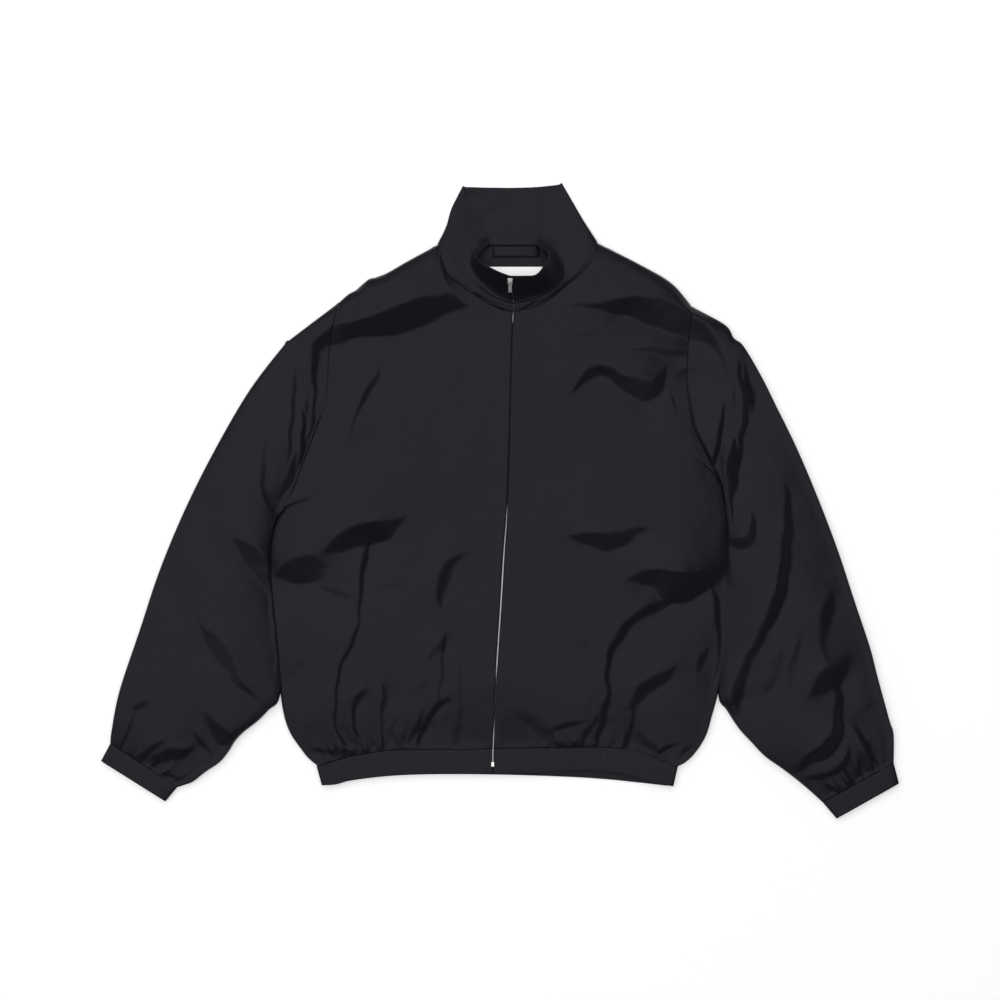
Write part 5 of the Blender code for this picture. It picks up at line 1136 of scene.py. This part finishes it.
# ---------------------------------------------------------------------------------- label and loop
# A blank white woven label sewn to the inside of the back with a row of small stitches, and above it a hanger
# loop: a strap of the satin, folded lengthways, with both ends sewn under the collar's seam.
LABEL_SIZE = (70, 38, 0.9)
LABEL_CENTRE = (18, 273)
LABEL_LIFT = 1.35       # over the floor, on the back
LABEL_WALL = 0.6
LABEL_CELLS = (48, 30)
LABEL_CUT = (0.07, 0.038)
LABEL_WHITE = (0.86, 0.86, 0.85)
LABEL_SHADE = (0.7, 0.7, 0.7)
LABEL_PAINTED_LIGHT = 0.42       # painted light: a glow, so that it reads as white as the paper beside the dark cloth
LOOP_SIZE = (58, 14, 1.2)
LOOP_CENTRE = (20, 311)
LOOP_ARCH = 3.5
LOOP_WALL = 1.0
LOOP_CELLS = (60, 12)
LOOP_CUT = (0.064, 0.013)


def label_surface(across, up):
    x = LABEL_CENTRE[0] + (across - 0.5) * LABEL_SIZE[0]
    y = LABEL_CENTRE[1] + (up - 0.5) * LABEL_SIZE[1]
    from_edge = np.minimum(np.minimum(across, 1 - across) * LABEL_SIZE[0],
                           np.minimum(up, 1 - up) * LABEL_SIZE[1])
    z = LABEL_LIFT + LABEL_SIZE[2] * (0.55 + 0.45 * roll(from_edge, 1.5))
    z = z + 0.5 * soft(from_edge, 9) * (0.5 + 0.5 * np.sin(x / 9 + 0.5 * np.sin(y / 7)))
    return np.stack([x, y, z], axis=-1)


# The label's weave glows a little: painted light, so that it reads white beside the dark cloth.
label_weave_and_painted_light, tree, shader, place = new_material("label_weave_and_painted_light", {
    "Roughness": 0.7, "Sheen Weight": 0.1, "Emission Color": (1, 1, 1, 1), "Emission Strength": LABEL_PAINTED_LIGHT})
picks = add_node(tree, "TexWave", {"Vector": place["UV"], "Scale": 480, "Distortion": 0.5})
picks.bands_direction = "Y"
tint(tree, shader, picks, LABEL_SHADE, LABEL_WHITE)
add_bump(tree, shader, picks, 0.4, 0.00008)

label = add_cloth("neck_label_cloth", label_surface, LABEL_CELLS, LABEL_CUT, label_weave_and_painted_light, wall=LABEL_WALL)
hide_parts("neck_label")


def loop_surface(across, up):
    """Outer face of the hanger loop, arched off the back, with its ends pressed down."""
    x = LOOP_CENTRE[0] + (across - 0.5) * LOOP_SIZE[0]
    y = LOOP_CENTRE[1] + (up - 0.5) * LOOP_SIZE[1] * (1 - 0.08 * np.sin(np.pi * across))
    crown = 0.5 * (1 - (2 * up - 1) ** 4)
    z = CLOTH + 0.2 + LOOP_SIZE[2] + crown + LOOP_ARCH * np.clip(np.sin(np.pi * across), 0, 1) ** 0.7
    return np.stack([x, y, z], axis=-1)


loop = add_cloth("hanger_loop_cloth", loop_surface, LOOP_CELLS, LOOP_CUT, navy_satin, wall=LOOP_WALL)
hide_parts("hanger_loop")

# ------------------------------------------------------------------------------------------- stitching
# Lockstitch: two rows beside the zip in thread of the cloth's colour, and one row close inside the label's
# edges in the label's own white, which carries the label's painted light.
STITCH_SIZE = (2.2, 0.35, 0.25)     # along the seam, across it, and off the cloth
STITCH_ROUND = 0.1
STITCH_LIFT = 0.1
THREAD = (0.0045, 0.0045, 0.0065)
THREAD_LIT = (0.0099, 0.0099, 0.0143)
ZIP_STITCH = (8.0, 2.2)     # how far each row lies from the zip
ZIP_STITCH_PITCH = 3.0
ZIP_STITCH_RUN = (0.004, 0.955)     # shares of the front's length
ZIP_STITCH_PLACES = 260
FRONT_WIDTH = 262
LABEL_STITCH_PITCH = 2.8
LABEL_STITCH_INSET = 1.6


def add_stitches(name, rows, finish, pitch):
    """Rows of small rounded stitches along lines of (x, y, z), all in one mesh."""
    bm = bmesh.new()
    for line in rows:
        line = np.array(line, float)
        count = int(length(line) / pitch)
        shares = (np.arange(count) + 0.5) / count
        headings = read(np.gradient(line, axis=0) * (len(line) - 1), shares)
        for middle, heading in zip(read(line, shares), headings):
            forward = Vector(heading).normalized()
            beside = Vector((0, 0, 1)).cross(forward).normalized()
            upward = forward.cross(beside)
            add_block(bm, Vector(middle) + upward * STITCH_LIFT, (forward, beside, upward), STITCH_SIZE)
    round_blocks(bm, STITCH_ROUND)
    return finish_piece(name, bm, finish)


sewing_thread, tree, shader, place = new_material("sewing_thread", {"Roughness": 0.55})
strands = add_node(tree, "TexNoise", {"Vector": place["Object"], "Scale": 900})
tint(tree, shader, strands, THREAD, THREAD_LIT)

zip_rows = [front_surface(side, np.full(ZIP_STITCH_PLACES, beside / FRONT_WIDTH),
                          np.linspace(*ZIP_STITCH_RUN, ZIP_STITCH_PLACES))
            for side in ("left", "right") for beside in ZIP_STITCH]
zip_seam = add_stitches("zip_stitching", zip_rows, sewing_thread, ZIP_STITCH_PITCH)

reach = 0.5 - LABEL_STITCH_INSET / np.array(LABEL_SIZE[:2])
corners = [0.5 + reach * corner for corner in ((-1, -1), (1, -1), (1, 1), (-1, 1), (-1, -1))]
label_frame = [label_surface(*np.linspace(start, end, 30).T) for start, end in zip(corners, corners[1:])]
label_seam = add_stitches("label_stitching", label_frame, label_weave_and_painted_light, LABEL_STITCH_PITCH)
